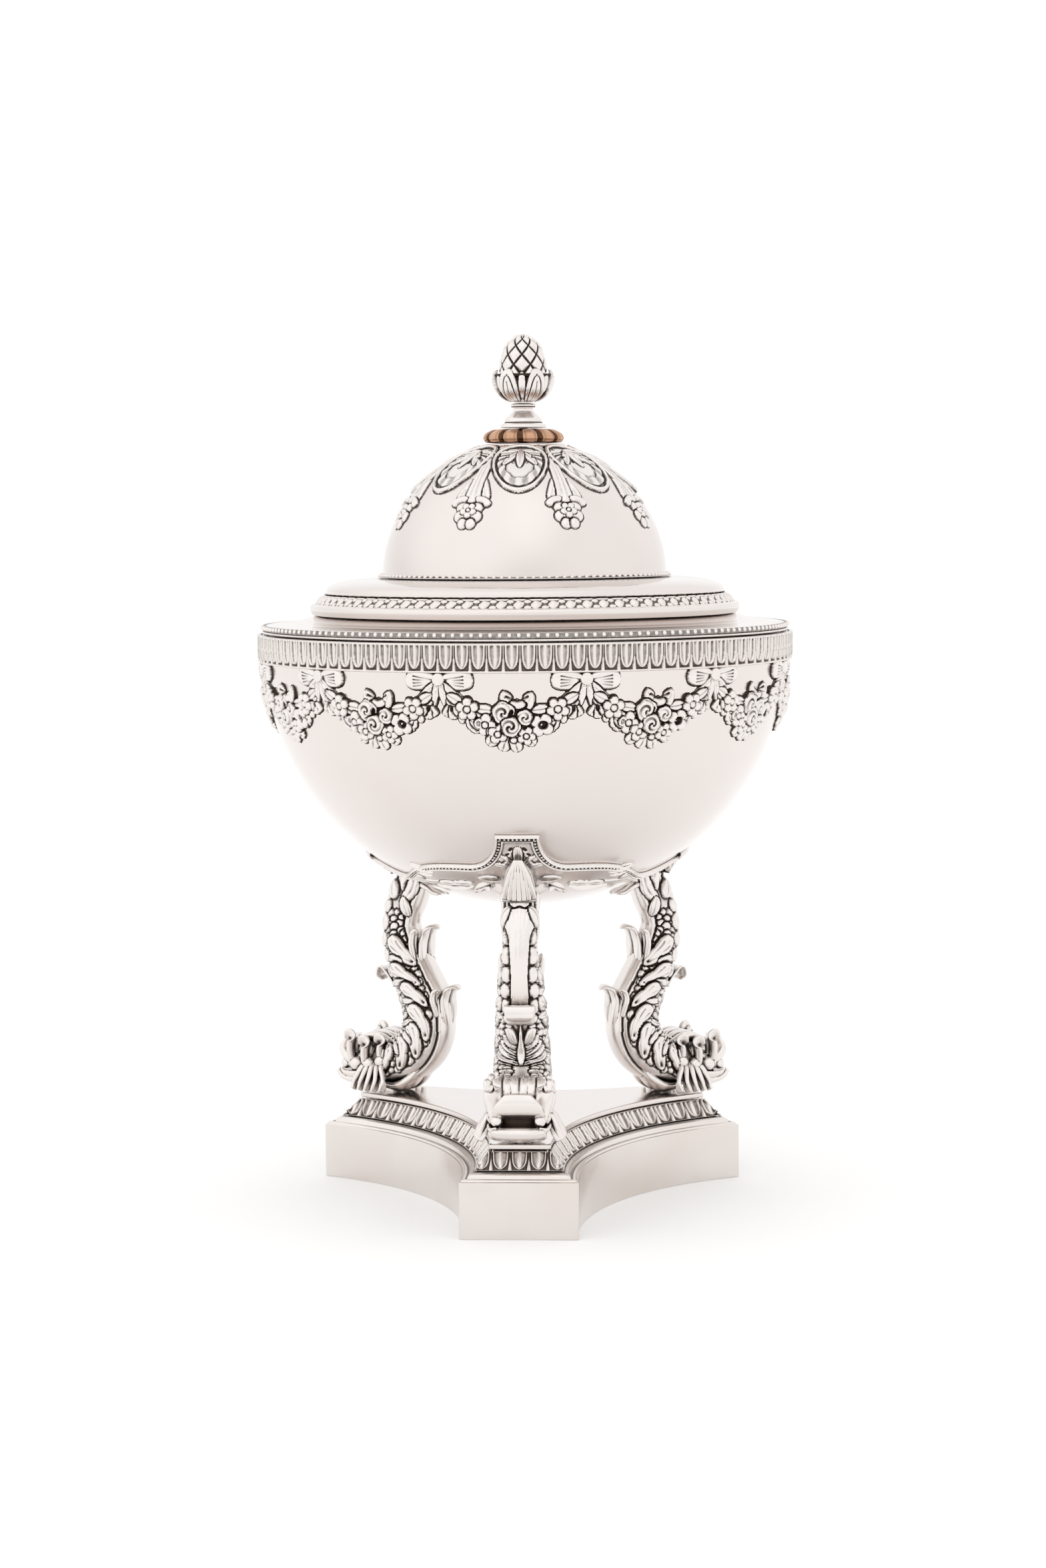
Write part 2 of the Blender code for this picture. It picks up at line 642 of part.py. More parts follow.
def build_bowl():
    outer = []
    inner = []
    for step in range(BOWL_ARCS + 1):
        polar = math.pi / 2 * step / BOWL_ARCS
        hollow = BOWL_RADIUS - BOWL_WALL
        outer.append((BOWL_RADIUS * math.sin(polar), BOWL_Z - BOWL_RADIUS * math.cos(polar)))
        inner.append((hollow * math.sin(polar), BOWL_Z - hollow * math.cos(polar)))
    outline = outer + [(BOWL_RADIUS, RIM_Z), (BOWL_RADIUS - BOWL_WALL, RIM_Z)] + inner[::-1]
    turned("bowl_shell", outline, roughness=0.12)
    band = [
        (BAND_RADIUS - RIM_BAND_THICKNESS, BAND_BOTTOM_Z),
        (BAND_RADIUS, BAND_BOTTOM_Z),
        (BAND_RADIUS, RIM_Z),
        (BAND_RADIUS - RIM_BAND_THICKNESS, RIM_Z),
    ]
    turned("rim_leaf_band", band, colour=DARK_SILVER, roughness=0.3)


def build_garland():
    band_polar = math.acos((BOWL_Z - BAND_BOTTOM_Z) / BOWL_RADIUS)
    pitch = math.tau / SWAG_COUNT
    bow_polar = band_polar - BOW_BELOW_BAND / BOWL_RADIUS
    bow_half = BOW_WIDTH / 2 / BOWL_RADIUS
    arm_half = SWAG_ARM_WIDTH / 2 / BOWL_RADIUS
    cluster_half = SWAG_CLUSTER_WIDTH / 2 / BOWL_RADIUS
    low_polar = band_polar - SWAG_DROP / BOWL_RADIUS
    reach = pitch / 2 - bow_half - 2 * FIT / BOWL_RADIUS
    for index in range(SWAG_COUNT):
        azimuth = FRONT_ANGLE + index * pitch
        rings = []
        for station in range(SWAG_STATIONS):
            share = 2 * station / (SWAG_STATIONS - 1) - 1
            sag = 1 - share ** 2
            middle = bow_polar + (low_polar + cluster_half - bow_polar) * sag
            half = arm_half + (cluster_half - arm_half) * max(0.0, 1 - (share * 2.2) ** 2)
            relief = SWAG_RELIEF * (0.55 + 0.45 * sag)
            place = azimuth + share * reach
            rings.append([on_sphere(place, middle - half, FIT),
                          on_sphere(place, middle, FIT),
                          on_sphere(place, middle + half, FIT),
                          on_sphere(place, middle + half * 0.6, relief),
                          on_sphere(place, middle - half * 0.6, relief)])
        loft(f"garland_swag_{index + 1:02d}", rings, roughness=0.3)
        build_bow(index, azimuth + pitch / 2, bow_polar, bow_half)


def build_bow(index, azimuth, polar, half):
    """Ribbon bow between two swags, as a low cushion on the bowl."""
    rise = BOW_HEIGHT / 2 / BOWL_RADIUS
    rings = []
    for share in (-1.0, -0.5, 0.0, 0.5, 1.0):
        tall = rise * (0.55 if abs(share) == 1.0 else 1.0)
        relief = BOW_RELIEF * (0.6 if abs(share) == 1.0 else 1.0)
        place = azimuth + share * half
        rings.append([on_sphere(place, polar - tall, FIT),
                      on_sphere(place, polar + tall, FIT),
                      on_sphere(place, polar + tall * 0.6, relief),
                      on_sphere(place, polar - tall * 0.6, relief)])
    loft(f"garland_bow_{index + 1:02d}", rings, roughness=0.25)


# ---------------------------------------------------------------- lid

def wire_outline(radius, height, thickness):
    """Round wire section as a six-sided outline."""
    return [(radius + thickness * math.cos(math.tau * step / 6),
             height + thickness * math.sin(math.tau * step / 6)) for step in range(6)]


def build_lid_rings():
    edge = LID_RADIUS
    foot = LEAF_RING_RADIUS
    shoulder = LID_Z + LID_EDGE_HEIGHT
    rebate = 2 * BEAD_WIRE_RADIUS + FIT
    flange_top = shoulder + FLANGE_RISE
    bezel_outer = BOWL_RADIUS - BOWL_WALL - BEZEL_CLEARANCE
    bezel_inner = bezel_outer - BEZEL_WALL
    flange = [
        (bezel_inner, LID_Z),
        (edge, LID_Z),
        (edge, shoulder - rebate - FIT),
        (edge - rebate, shoulder - rebate),
        (edge - rebate, shoulder),
        (edge - 0.5 * FLANGE_WIDTH, shoulder + 0.3 * FLANGE_RISE),
        (foot, flange_top),
        (foot - 4 * LID_SHEET, flange_top),
        (foot - 4 * LID_SHEET, flange_top - LID_SHEET),
        (foot, flange_top - LID_SHEET),
        (edge - 0.5 * FLANGE_WIDTH, shoulder + 0.3 * FLANGE_RISE - LID_SHEET),
        (bezel_inner, shoulder - LID_SHEET),
    ]
    turned("lid_flange", flange, roughness=0.12)
    turned("lid_edge_beading",
           wire_outline(edge - BEAD_WIRE_RADIUS, shoulder - BEAD_WIRE_RADIUS, BEAD_WIRE_RADIUS),
           roughness=0.25)
    turned("lid_bezel", [(bezel_inner, RIM_Z - BEZEL_DEPTH), (bezel_outer, RIM_Z - BEZEL_DEPTH),
                         (bezel_outer, RIM_Z), (bezel_inner, RIM_Z)], roughness=0.2)

    z = LEAF_RING_Z
    top = z + LEAF_RING_HEIGHT
    bulge = foot + LEAF_RING_BULGE
    upper = bulge - LEAF_RING_SLOPE
    leaf_ring = [
        (foot - 3 * LID_SHEET, z),
        (foot, z),
        (bulge - 0.25 * LEAF_RING_BULGE, z + 0.12 * LEAF_RING_HEIGHT),
        (bulge, z + 0.34 * LEAF_RING_HEIGHT),
        (bulge - 0.31 * LEAF_RING_BULGE, z + 0.58 * LEAF_RING_HEIGHT),
        (bulge - 0.69 * LEAF_RING_BULGE, z + 0.62 * LEAF_RING_HEIGHT),
        (upper, top),
        (foot - 3 * LID_SHEET, top),
    ]
    turned("lid_leaf_ring", leaf_ring, colour=DARK_SILVER, roughness=0.28)

    outer = STEP_RADIUS
    inner = DOME_RADIUS - 1.4 * LID_SHEET
    step_top = STEP_Z + STEP_RISE
    crown = DOME_RADIUS + 0.9 * LID_SHEET
    rounded = []
    under = []
    for share in (0.0, 0.25, 0.5, 0.75, 1.0):
        turn = share * math.pi / 2
        radius = crown + (outer - 1.2 * LID_SHEET - crown) * math.cos(turn)
        height = STEP_Z + 0.6 * LID_SHEET + (STEP_RISE - 0.6 * LID_SHEET) * math.sin(turn)
        rounded.append((radius, height))
        under.append((radius - 1.2 * LID_SHEET * (1 - share),
                      height - LID_SHEET * (0.5 + 0.5 * share)))
    step = [(outer, STEP_Z), (outer, STEP_Z + 0.4 * LID_SHEET)] + rounded + [(inner, step_top)]
    step += [(inner, step_top - LID_SHEET)] + under[::-1][:-1]
    step += [(outer - 2.8 * LID_SHEET, STEP_Z)]
    turned("lid_domed_step", step, roughness=0.12)


def dome_height(radius):
    return DOME_RISE * math.sqrt(max(0.0, 1 - (radius / DOME_RADIUS) ** 2))


def build_dome():
    outer = []
    inner = []
    start = math.asin(DOME_SHOULDER / DOME_RADIUS)
    for step in range(DOME_ARCS + 1):
        polar = start + (math.pi / 2 - start) * step / DOME_ARCS
        outer.append((DOME_RADIUS * math.sin(polar), DOME_Z + DOME_RISE * math.cos(polar)))
        inner.append(((DOME_RADIUS - LID_SHEET) * math.sin(polar),
                      DOME_Z + (DOME_RISE - LID_SHEET) * math.cos(polar)))
    top = [(BORE_RADIUS, DOME_TOP_Z)]
    under = [(BORE_RADIUS, inner[0][1])]
    turned("lid_dome", top + outer + inner[::-1] + under, roughness=0.12)
    bead_radius = DOME_RADIUS + FIT + BEAD_WIRE_RADIUS
    turned("dome_foot_beading",
           wire_outline(bead_radius, DOME_Z + BEAD_WIRE_RADIUS, BEAD_WIRE_RADIUS), roughness=0.25)


def build_calyx():
    """Calyx of palmettes with pendants between them, lying on the dome below the finial."""
    near = DISC_RADIUS + CALYX_RELIEF + FIT
    stations = CALYX_PETALS * CALYX_STATIONS
    edges = (CALYX_REACH, 0.94 * CALYX_REACH, 0.80 * CALYX_REACH, CALYX_PENDANT_REACH)
    edge_polars = [math.asin(edge / DOME_RADIUS) for edge in edges]
    rings = []
    for station in range(stations):
        azimuth = FRONT_ANGLE + math.tau * station / stations
        phase = 2 * abs((station / CALYX_STATIONS + 0.5) % 1 - 0.5)
        first = math.asin(near / DOME_RADIUS)
        last = np.interp(phase, (0.0, 0.35, 0.6, 1.0), edge_polars)
        radii = [DOME_RADIUS * math.sin(first + (last - first) * share / CALYX_ARCS)
                 for share in range(CALYX_ARCS + 1)]
        low = [dome_point(azimuth, radius, FIT) for radius in radii]
        high = [dome_point(azimuth, radius, FIT + CALYX_RELIEF) for radius in reversed(radii)]
        rings.append(low + high)
    loft("lid_leaf_calyx", rings, closed=True, roughness=0.28)


def dome_point(azimuth, radius, outside):
    """A point at a distance outside the dome's surface."""
    height = dome_height(radius)
    normal = Vector((radius / DOME_RADIUS ** 2, 0.0, height / DOME_RISE ** 2)).normalized()
    place = Vector((radius, 0.0, DOME_Z + height)) + normal * outside
    return Matrix.Rotation(azimuth, 3, "Z") @ place


# ---------------------------------------------------------------- finial

def build_finial():
    turned("finial_disc", [(BORE_RADIUS, DISC_Z), (DISC_RADIUS, DISC_Z),
                           (DISC_RADIUS, DISC_Z + DISC_HEIGHT),
                           (BORE_RADIUS, DISC_Z + DISC_HEIGHT)], SMALL_STEPS)

    rings = []
    for station in range(COLLAR_LOBES * 4):
        azimuth = math.tau * station / (COLLAR_LOBES * 4)
        dip = COLLAR_GROOVE if station % 4 == 0 else 0.0
        rim = COLLAR_RADIUS - dip
        outline = [(BORE_RADIUS, 0.0), (rim - 0.22 * COLLAR_HEIGHT, 0.0),
                   (rim, 0.28 * COLLAR_HEIGHT),
                   (rim - 0.16 * COLLAR_HEIGHT, 0.75 * COLLAR_HEIGHT),
                   (rim - 0.86 * COLLAR_HEIGHT, COLLAR_HEIGHT),
                   (BORE_RADIUS, COLLAR_HEIGHT)]
        rings.append([Vector((radius * math.cos(azimuth), radius * math.sin(azimuth),
                              COLLAR_Z + height)) for radius, height in outline])
    loft("finial_collar", rings, closed=True, colour=BROWN_GILT, roughness=0.35)

    bore_top = STEM_Z + 0.60 * STEM_HEIGHT
    stem = [
        (BORE_RADIUS, STEM_Z),
        (STEM_FOOT_RADIUS, STEM_Z),
        (0.97 * STEM_FOOT_RADIUS, STEM_Z + 0.09 * STEM_HEIGHT),
        (0.79 * STEM_FOOT_RADIUS, STEM_Z + 0.35 * STEM_HEIGHT),
        (STEM_WAIST_RADIUS, STEM_Z + 0.63 * STEM_HEIGHT),
        (1.07 * STEM_WAIST_RADIUS, STEM_Z + 0.88 * STEM_HEIGHT),
        (1.24 * STEM_WAIST_RADIUS, STEM_Z + STEM_HEIGHT),
        (0.0, STEM_Z + STEM_HEIGHT),
        (0.0, bore_top),
        (BORE_RADIUS, bore_top),
    ]
    turned("finial_stem", stem, SMALL_STEPS)

    recess = CUP_Z + 0.76 * CUP_HEIGHT
    cup = [
        (0.0, CUP_Z),
        (0.45 * CUP_RADIUS, CUP_Z),
        (0.67 * CUP_RADIUS, CUP_Z + 0.12 * CUP_HEIGHT),
        (0.88 * CUP_RADIUS, CUP_Z + 0.31 * CUP_HEIGHT),
        (0.98 * CUP_RADIUS, CUP_Z + 0.53 * CUP_HEIGHT),
        (CUP_RADIUS, CUP_Z + 0.74 * CUP_HEIGHT),
        (0.95 * CUP_RADIUS, CUP_Z + CUP_HEIGHT),
        (CONE_RADIUS + FIT, CUP_Z + CUP_HEIGHT),
        (CONE_RADIUS + FIT, recess),
        (0.0, recess),
    ]
    turned("finial_leaf_cup", cup, SMALL_STEPS)

    cone_z = recess + FIT
    cone = [(0.0, cone_z)]
    for share in (0.0, 0.25, 0.5, 0.7, 0.86, 0.96):
        cone.append((CONE_RADIUS * math.sqrt(1 - share ** 2.6), cone_z + share * CONE_HEIGHT))
    cone.append((0.0, cone_z + CONE_HEIGHT))
    turned("finial_cone", cone, SMALL_STEPS)

    ceiling = DOME_Z + (DOME_RISE - LID_SHEET) * math.cos(math.asin(DOME_SHOULDER / DOME_RADIUS))
    washer_z = ceiling - FIT - WASHER_HEIGHT
    turned("finial_washer", [(BORE_RADIUS, washer_z), (WASHER_RADIUS, washer_z),
                             (WASHER_RADIUS, washer_z + WASHER_HEIGHT),
                             (BORE_RADIUS, washer_z + WASHER_HEIGHT)], SMALL_STEPS)
    nut_z = washer_z - FIT - NUT_HEIGHT
    nut = nut_mesh("nut", NUT_RADIUS, BORE_RADIUS, NUT_HEIGHT)
    nut.transform(Matrix.Translation((0.0, 0.0, nut_z)))
    add_object("finial_nut", nut, colour=DARK_SILVER, roughness=0.4)
    stud_z = nut_z - STUD_TAIL
    turned("finial_stud", post_outline(STUD_RADIUS, stud_z, bore_top - FIT - stud_z),
           STUD_STEPS, colour=DARK_SILVER, roughness=0.4)


def build():
    clear_scene()
    build_plinth()
    build_legs()
    drill_deck()
    build_cradle()
    build_bowl()
    build_garland()
    build_lid_rings()
    build_dome()
    build_calyx()
    build_finial()


build()
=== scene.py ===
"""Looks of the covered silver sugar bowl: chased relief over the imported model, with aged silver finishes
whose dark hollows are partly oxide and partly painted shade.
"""
import math

import bpy
import numpy as np
from mathutils import Matrix, Vector
from mathutils.bvhtree import BVHTree


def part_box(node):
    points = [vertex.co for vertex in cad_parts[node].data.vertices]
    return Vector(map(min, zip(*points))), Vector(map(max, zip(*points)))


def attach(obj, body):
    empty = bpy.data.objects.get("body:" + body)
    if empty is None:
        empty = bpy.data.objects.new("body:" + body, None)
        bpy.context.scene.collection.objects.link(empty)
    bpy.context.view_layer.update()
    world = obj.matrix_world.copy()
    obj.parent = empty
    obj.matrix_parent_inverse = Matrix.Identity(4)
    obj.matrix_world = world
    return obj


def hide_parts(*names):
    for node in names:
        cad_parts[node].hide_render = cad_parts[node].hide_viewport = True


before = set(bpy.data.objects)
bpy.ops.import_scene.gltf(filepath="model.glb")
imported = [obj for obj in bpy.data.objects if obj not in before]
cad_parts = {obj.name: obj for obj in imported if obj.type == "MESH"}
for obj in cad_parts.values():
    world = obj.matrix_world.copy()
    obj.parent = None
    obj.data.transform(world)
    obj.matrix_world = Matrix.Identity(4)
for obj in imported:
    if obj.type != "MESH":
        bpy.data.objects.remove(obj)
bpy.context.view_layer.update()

TAU = math.tau
FRONT = -math.pi / 2            # azimuth of the front leg
FLOOR = -0.35                   # mm, where relief stops below the surface that carries it
LID_BEADS = 187
DOME_BEADS = 120
RING_LEAVES = 79
PALMETTES = 8
STAND = "stand_and_bowl"
LID = "lid"


def low(node):
    return np.array(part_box(node)[0]) * 1000


def high(node):
    return np.array(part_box(node)[1]) * 1000


# ------------------------------------------------------------------ materials

def node_tree(name):
    made = bpy.data.materials.new(name)
    made.use_nodes = True
    return made, made.node_tree.nodes, made.node_tree.links


def metal(name, light, dark, gloss, dull, depth=0.9, waviness=0.02, mottle=0.06, scratches=0.25):
    """Polished metal whose recesses take a dark colour, partly oxide and partly painted shade; a per-vertex
    mesh attribute says where.
    """
    made, nodes, links = node_tree(name)
    shader = nodes["Principled BSDF"]
    shader.inputs["Metallic"].default_value = 1.0
    place = nodes.new("ShaderNodeTexCoord")

    cloud = nodes.new("ShaderNodeTexNoise")
    cloud.inputs["Scale"].default_value = 46.0
    cloud.inputs["Detail"].default_value = 5.0
    links.new(place.outputs["Object"], cloud.inputs["Vector"])

    speckle = nodes.new("ShaderNodeTexNoise")
    speckle.inputs["Scale"].default_value = 900.0
    speckle.inputs["Detail"].default_value = 3.0
    links.new(place.outputs["Object"], speckle.inputs["Vector"])

    stretch = nodes.new("ShaderNodeMapping")
    stretch.inputs["Scale"].default_value = (1.0, 1.0, 14.0)
    stretch.inputs["Rotation"].default_value = (0.5, 0.2, 0.3)
    links.new(place.outputs["Object"], stretch.inputs["Vector"])
    lines = nodes.new("ShaderNodeTexNoise")
    lines.inputs["Scale"].default_value = 260.0
    lines.inputs["Detail"].default_value = 4.0
    links.new(stretch.outputs["Vector"], lines.inputs["Vector"])

    # the mesh's darkness attribute: oxide in the hollows plus painted shade and painted contact shadow
    kept = nodes.new("ShaderNodeAttribute")
    kept.attribute_name = "patina_and_shade"
    varied = nodes.new("ShaderNodeMath")
    varied.operation = "MULTIPLY_ADD"
    links.new(speckle.outputs["Fac"], varied.inputs[0])
    varied.inputs[1].default_value = 0.30
    links.new(kept.outputs["Fac"], varied.inputs[2])
    oxide_and_shade_factor = nodes.new("ShaderNodeMapRange")
    oxide_and_shade_factor.interpolation_type = "SMOOTHSTEP"
    oxide_and_shade_factor.inputs["From Min"].default_value = 0.22
    oxide_and_shade_factor.inputs["From Max"].default_value = 1.0
    oxide_and_shade_factor.inputs["To Max"].default_value = depth
    links.new(varied.outputs[0], oxide_and_shade_factor.inputs["Value"])

    tint = nodes.new("ShaderNodeMapRange")
    tint.inputs["From Min"].default_value = 0.35
    tint.inputs["From Max"].default_value = 0.70
    tint.inputs["To Max"].default_value = mottle
    links.new(cloud.outputs["Fac"], tint.inputs["Value"])
    warm = nodes.new("ShaderNodeMix")
    warm.data_type = "RGBA"
    warm.inputs["A"].default_value = (*light, 1.0)
    warm.inputs["B"].default_value = (light[0] * 0.80, light[1] * 0.70, light[2] * 0.58, 1.0)
    links.new(tint.outputs["Result"], warm.inputs["Factor"])
    colour = nodes.new("ShaderNodeMix")
    colour.data_type = "RGBA"
    colour.inputs["B"].default_value = (*dark, 1.0)
    links.new(oxide_and_shade_factor.outputs["Result"], colour.inputs["Factor"])
    links.new(warm.outputs["Result"], colour.inputs["A"])
    links.new(colour.outputs["Result"], shader.inputs["Base Color"])

    worn = nodes.new("ShaderNodeMath")
    worn.operation = "MULTIPLY_ADD"
    links.new(lines.outputs["Fac"], worn.inputs[0])
    worn.inputs[1].default_value = scratches * 0.25
    worn.inputs[2].default_value = gloss - scratches * 0.10
    rough = nodes.new("ShaderNodeMix")
    rough.data_type = "FLOAT"
    links.new(oxide_and_shade_factor.outputs["Result"], rough.inputs["Factor"])
    links.new(worn.outputs[0], rough.inputs["A"])
    rough.inputs["B"].default_value = dull
    links.new(rough.outputs["Result"], shader.inputs["Roughness"])

    ripple = nodes.new("ShaderNodeBump")
    ripple.inputs["Strength"].default_value = waviness
    ripple.inputs["Distance"].default_value = 0.002
    links.new(cloud.outputs["Fac"], ripple.inputs["Height"])
    grain = nodes.new("ShaderNodeBump")
    grain.inputs["Strength"].default_value = 0.05
    grain.inputs["Distance"].default_value = 0.0001
    links.new(lines.outputs["Fac"], grain.inputs["Height"])
    links.new(ripple.outputs["Normal"], grain.inputs["Normal"])
    links.new(grain.outputs["Normal"], shader.inputs["Normal"])
    return made


SILVER = (0.775, 0.722, 0.695)
# the dark colour stands for oxide and for painted shade in the hollows
OXIDE_AND_SHADE = (0.050, 0.035, 0.028)
polished = metal("polished_silver", SILVER, OXIDE_AND_SHADE, 0.15, 0.4, waviness=0.05)
sheet_silver = metal("sheet_silver", (0.80, 0.76, 0.735), OXIDE_AND_SHADE, 0.20, 0.4, waviness=0.10, mottle=0.25)
chased = metal("chased_silver", (0.83, 0.785, 0.76), OXIDE_AND_SHADE, 0.24, 0.5, depth=1.0)
banded = metal("leaf_band_silver", (0.80, 0.75, 0.72), (0.10, 0.075, 0.06), 0.24, 0.5, depth=0.95)
gilt = metal("gilt_collar", (0.62, 0.37, 0.24), (0.075, 0.032, 0.016), 0.30, 0.55, mottle=0.5)
steel = metal("fastener_metal", (0.45, 0.43, 0.41), OXIDE_AND_SHADE, 0.38, 0.5, mottle=0.4)


# ------------------------------------------------------------------ meshes

class Shape:
    """Collects vertices (mm), faces and per-vertex darkness (oxide plus painted shade), then becomes one
    piece.
    """

    def __init__(self):
        self.points, self.quads, self.patina_and_shade, self.count = [], [], [], 0

    def add(self, points, quads, patina_and_shade=0.0, shade_and_oxide=0.0):
        points = np.asarray(points, float).reshape(-1, 3)
        self.points.append(points)
        self.quads.append(np.asarray(quads, int).reshape(-1, 4) + self.count)
        # darkness per vertex, oxide plus painted shade: the larger of the two inputs
        self.patina_and_shade.append(np.maximum(np.broadcast_to(patina_and_shade, len(points)).astype(float), shade_and_oxide))
        self.count += len(points)
        return self

    def arrays(self):
        return np.vstack(self.points), np.vstack(self.quads), np.concatenate(self.patina_and_shade)

    def turned(self, azimuth):
        points, quads, patina_and_shade = self.arrays()
        return Shape().add(turn(points, azimuth), quads, patina_and_shade)

    def piece(self, name, body, slot, material, *nodes):
        points, quads, patina_and_shade = self.arrays()
        used = np.unique(quads)
        index = np.zeros(len(points), int)
        index[used] = np.arange(len(used))
        points, quads, patina_and_shade = points[used], index[quads], patina_and_shade[used]
        mesh = bpy.data.meshes.new(name)
        mesh.vertices.add(len(points))
        mesh.vertices.foreach_set("co", (points / 1000).astype(np.float32).ravel())
        mesh.loops.add(quads.size)
        mesh.loops.foreach_set("vertex_index", quads.astype(np.int32).ravel())
        mesh.polygons.add(len(quads))
        mesh.polygons.foreach_set("loop_start", np.arange(0, quads.size, 4, dtype=np.int32))
        mesh.polygons.foreach_set("use_smooth", np.ones(len(quads), bool))
        mesh.update(calc_edges=True)
        kept = mesh.attributes.new("patina_and_shade", "FLOAT", "POINT")
        kept.data.foreach_set("value", patina_and_shade.astype(np.float32))
        made = bpy.data.objects.new(name, mesh)
        bpy.context.scene.collection.objects.link(made)
        mesh.materials.append(material)
        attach(made, body)
        if nodes:
            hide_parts(*nodes)
        return made


def turn(points, azimuth):
    c, s = math.cos(azimuth), math.sin(azimuth)
    return np.stack([points[..., 0] * c - points[..., 1] * s,
                     points[..., 0] * s + points[..., 1] * c, points[..., 2]], -1)


def outward(points, quads):
    """Faces of a closed shell, turned to look out of it."""
    a, b, c, d = (np.asarray(points).reshape(-1, 3)[quads[:, k]] for k in range(4))
    volume = np.sum(a * np.cross(b, c)) + np.sum(a * np.cross(c, d))
    return quads if volume > 0 else quads[:, ::-1]


def grid_quads(rows, columns, wrap_rows=False, wrap_columns=False):
    r = np.arange(rows if wrap_rows else rows - 1)[:, None]
    c = np.arange(columns if wrap_columns else columns - 1)[None, :]
    r2, c2 = (r + 1) % rows, (c + 1) % columns
    return np.stack(np.broadcast_arrays(r * columns + c, r * columns + c2, r2 * columns + c2,
                                        r2 * columns + c), -1).reshape(-1, 4)


def spline(knots, count):
    """Evenly stepped Catmull-Rom points through the knots."""
    knots = np.asarray(knots, float)
    padded = np.vstack([2 * knots[0] - knots[1], knots, 2 * knots[-1] - knots[-2]])
    place = np.linspace(0, len(knots) - 1, count)
    index = np.minimum(place.astype(int), len(knots) - 2)
    t = (place - index)[:, None]
    a, b, c, d = (padded[index + k] for k in range(4))
    return 0.5 * (2 * b + (c - a) * t + (2 * a - 5 * b + 4 * c - d) * t ** 2
                  + (3 * b - a - 3 * c + d) * t ** 3)


def rounded(outline, radius=0.15, steps=3):
    """Round every corner of an open (r, z) outline by at most the radius."""
    outline = [np.asarray(point, float) for point in outline]
    made = [outline[0]]
    for before, here, after in zip(outline, outline[1:], outline[2:]):
        near = np.linalg.norm(before - here)
        far = np.linalg.norm(after - here)
        reach = min(radius, 0.45 * near, 0.45 * far)
        first = here + (before - here) / near * reach
        last = here + (after - here) / far * reach
        for step in range(steps + 1):
            t = step / steps
            made.append(first * (1 - t) ** 2 + 2 * here * t * (1 - t) + last * t ** 2)
    made.append(outline[-1])
    return np.array(made)


def spin(outline, steps=360, patina_and_shade=0.0):
    """Turn a closed outline of (r, z) in mm about the axis."""
    outline = np.asarray(outline, float)
    azimuth = np.arange(steps) / steps * TAU
    points = np.stack([outline[None, :, 0] * np.cos(azimuth)[:, None],
                       outline[None, :, 0] * np.sin(azimuth)[:, None],
                       np.broadcast_to(outline[None, :, 1], (steps, len(outline)))], -1)
    if np.ndim(patina_and_shade):
        patina_and_shade = np.tile(patina_and_shade, steps)
    return Shape().add(points, outward(points, grid_quads(steps, len(outline), True, True)), patina_and_shade)


def bead(centre, radius, rows=7, columns=12):
    """Small ball."""
    a = np.linspace(0.02, math.pi - 0.02, rows)[:, None]
    b = np.arange(columns)[None, :] / columns * TAU
    ball = np.stack([np.sin(a) * np.cos(b), np.sin(a) * np.sin(b), np.cos(a) + 0 * b], -1) * radius
    return ball + np.asarray(centre, float), outward(ball, grid_quads(rows, columns, False, True))


def bead_row(count, radius, height, size, azimuth=0.0, rows=8, columns=12):
    made = Shape()
    for index in range(count):
        place = azimuth + TAU * index / count
        ball, quads = bead((radius * math.cos(place), radius * math.sin(place), height), size,
                           rows, columns)
        made.add(ball, quads)
    return made


# ------------------------------------------------------------------ relief

def blur(field, cells, wrap=False):
    """Gaussian blur of a 2-D field; wrap joins its right edge to its left."""
    reach = int(3 * cells) + 1
    kernel = np.exp(-0.5 * (np.arange(-reach, reach + 1) / cells) ** 2)
    kernel /= kernel.sum()
    made = field
    for axis in (0, 1):
        mode = "wrap" if wrap and axis == 1 else "edge"
        pad = [(reach, reach) if k == axis else (0, 0) for k in (0, 1)]
        wide = np.pad(made, pad, mode=mode)
        size = made.shape[axis]
        made = sum(w * np.take(wide, np.arange(k, k + size), axis) for k, w in enumerate(kernel))
    return made


def local(x, y, cx, cy, angle):
    c, s = math.cos(angle), math.sin(angle)
    return (x - cx) * c + (y - cy) * s, -(x - cx) * s + (y - cy) * c


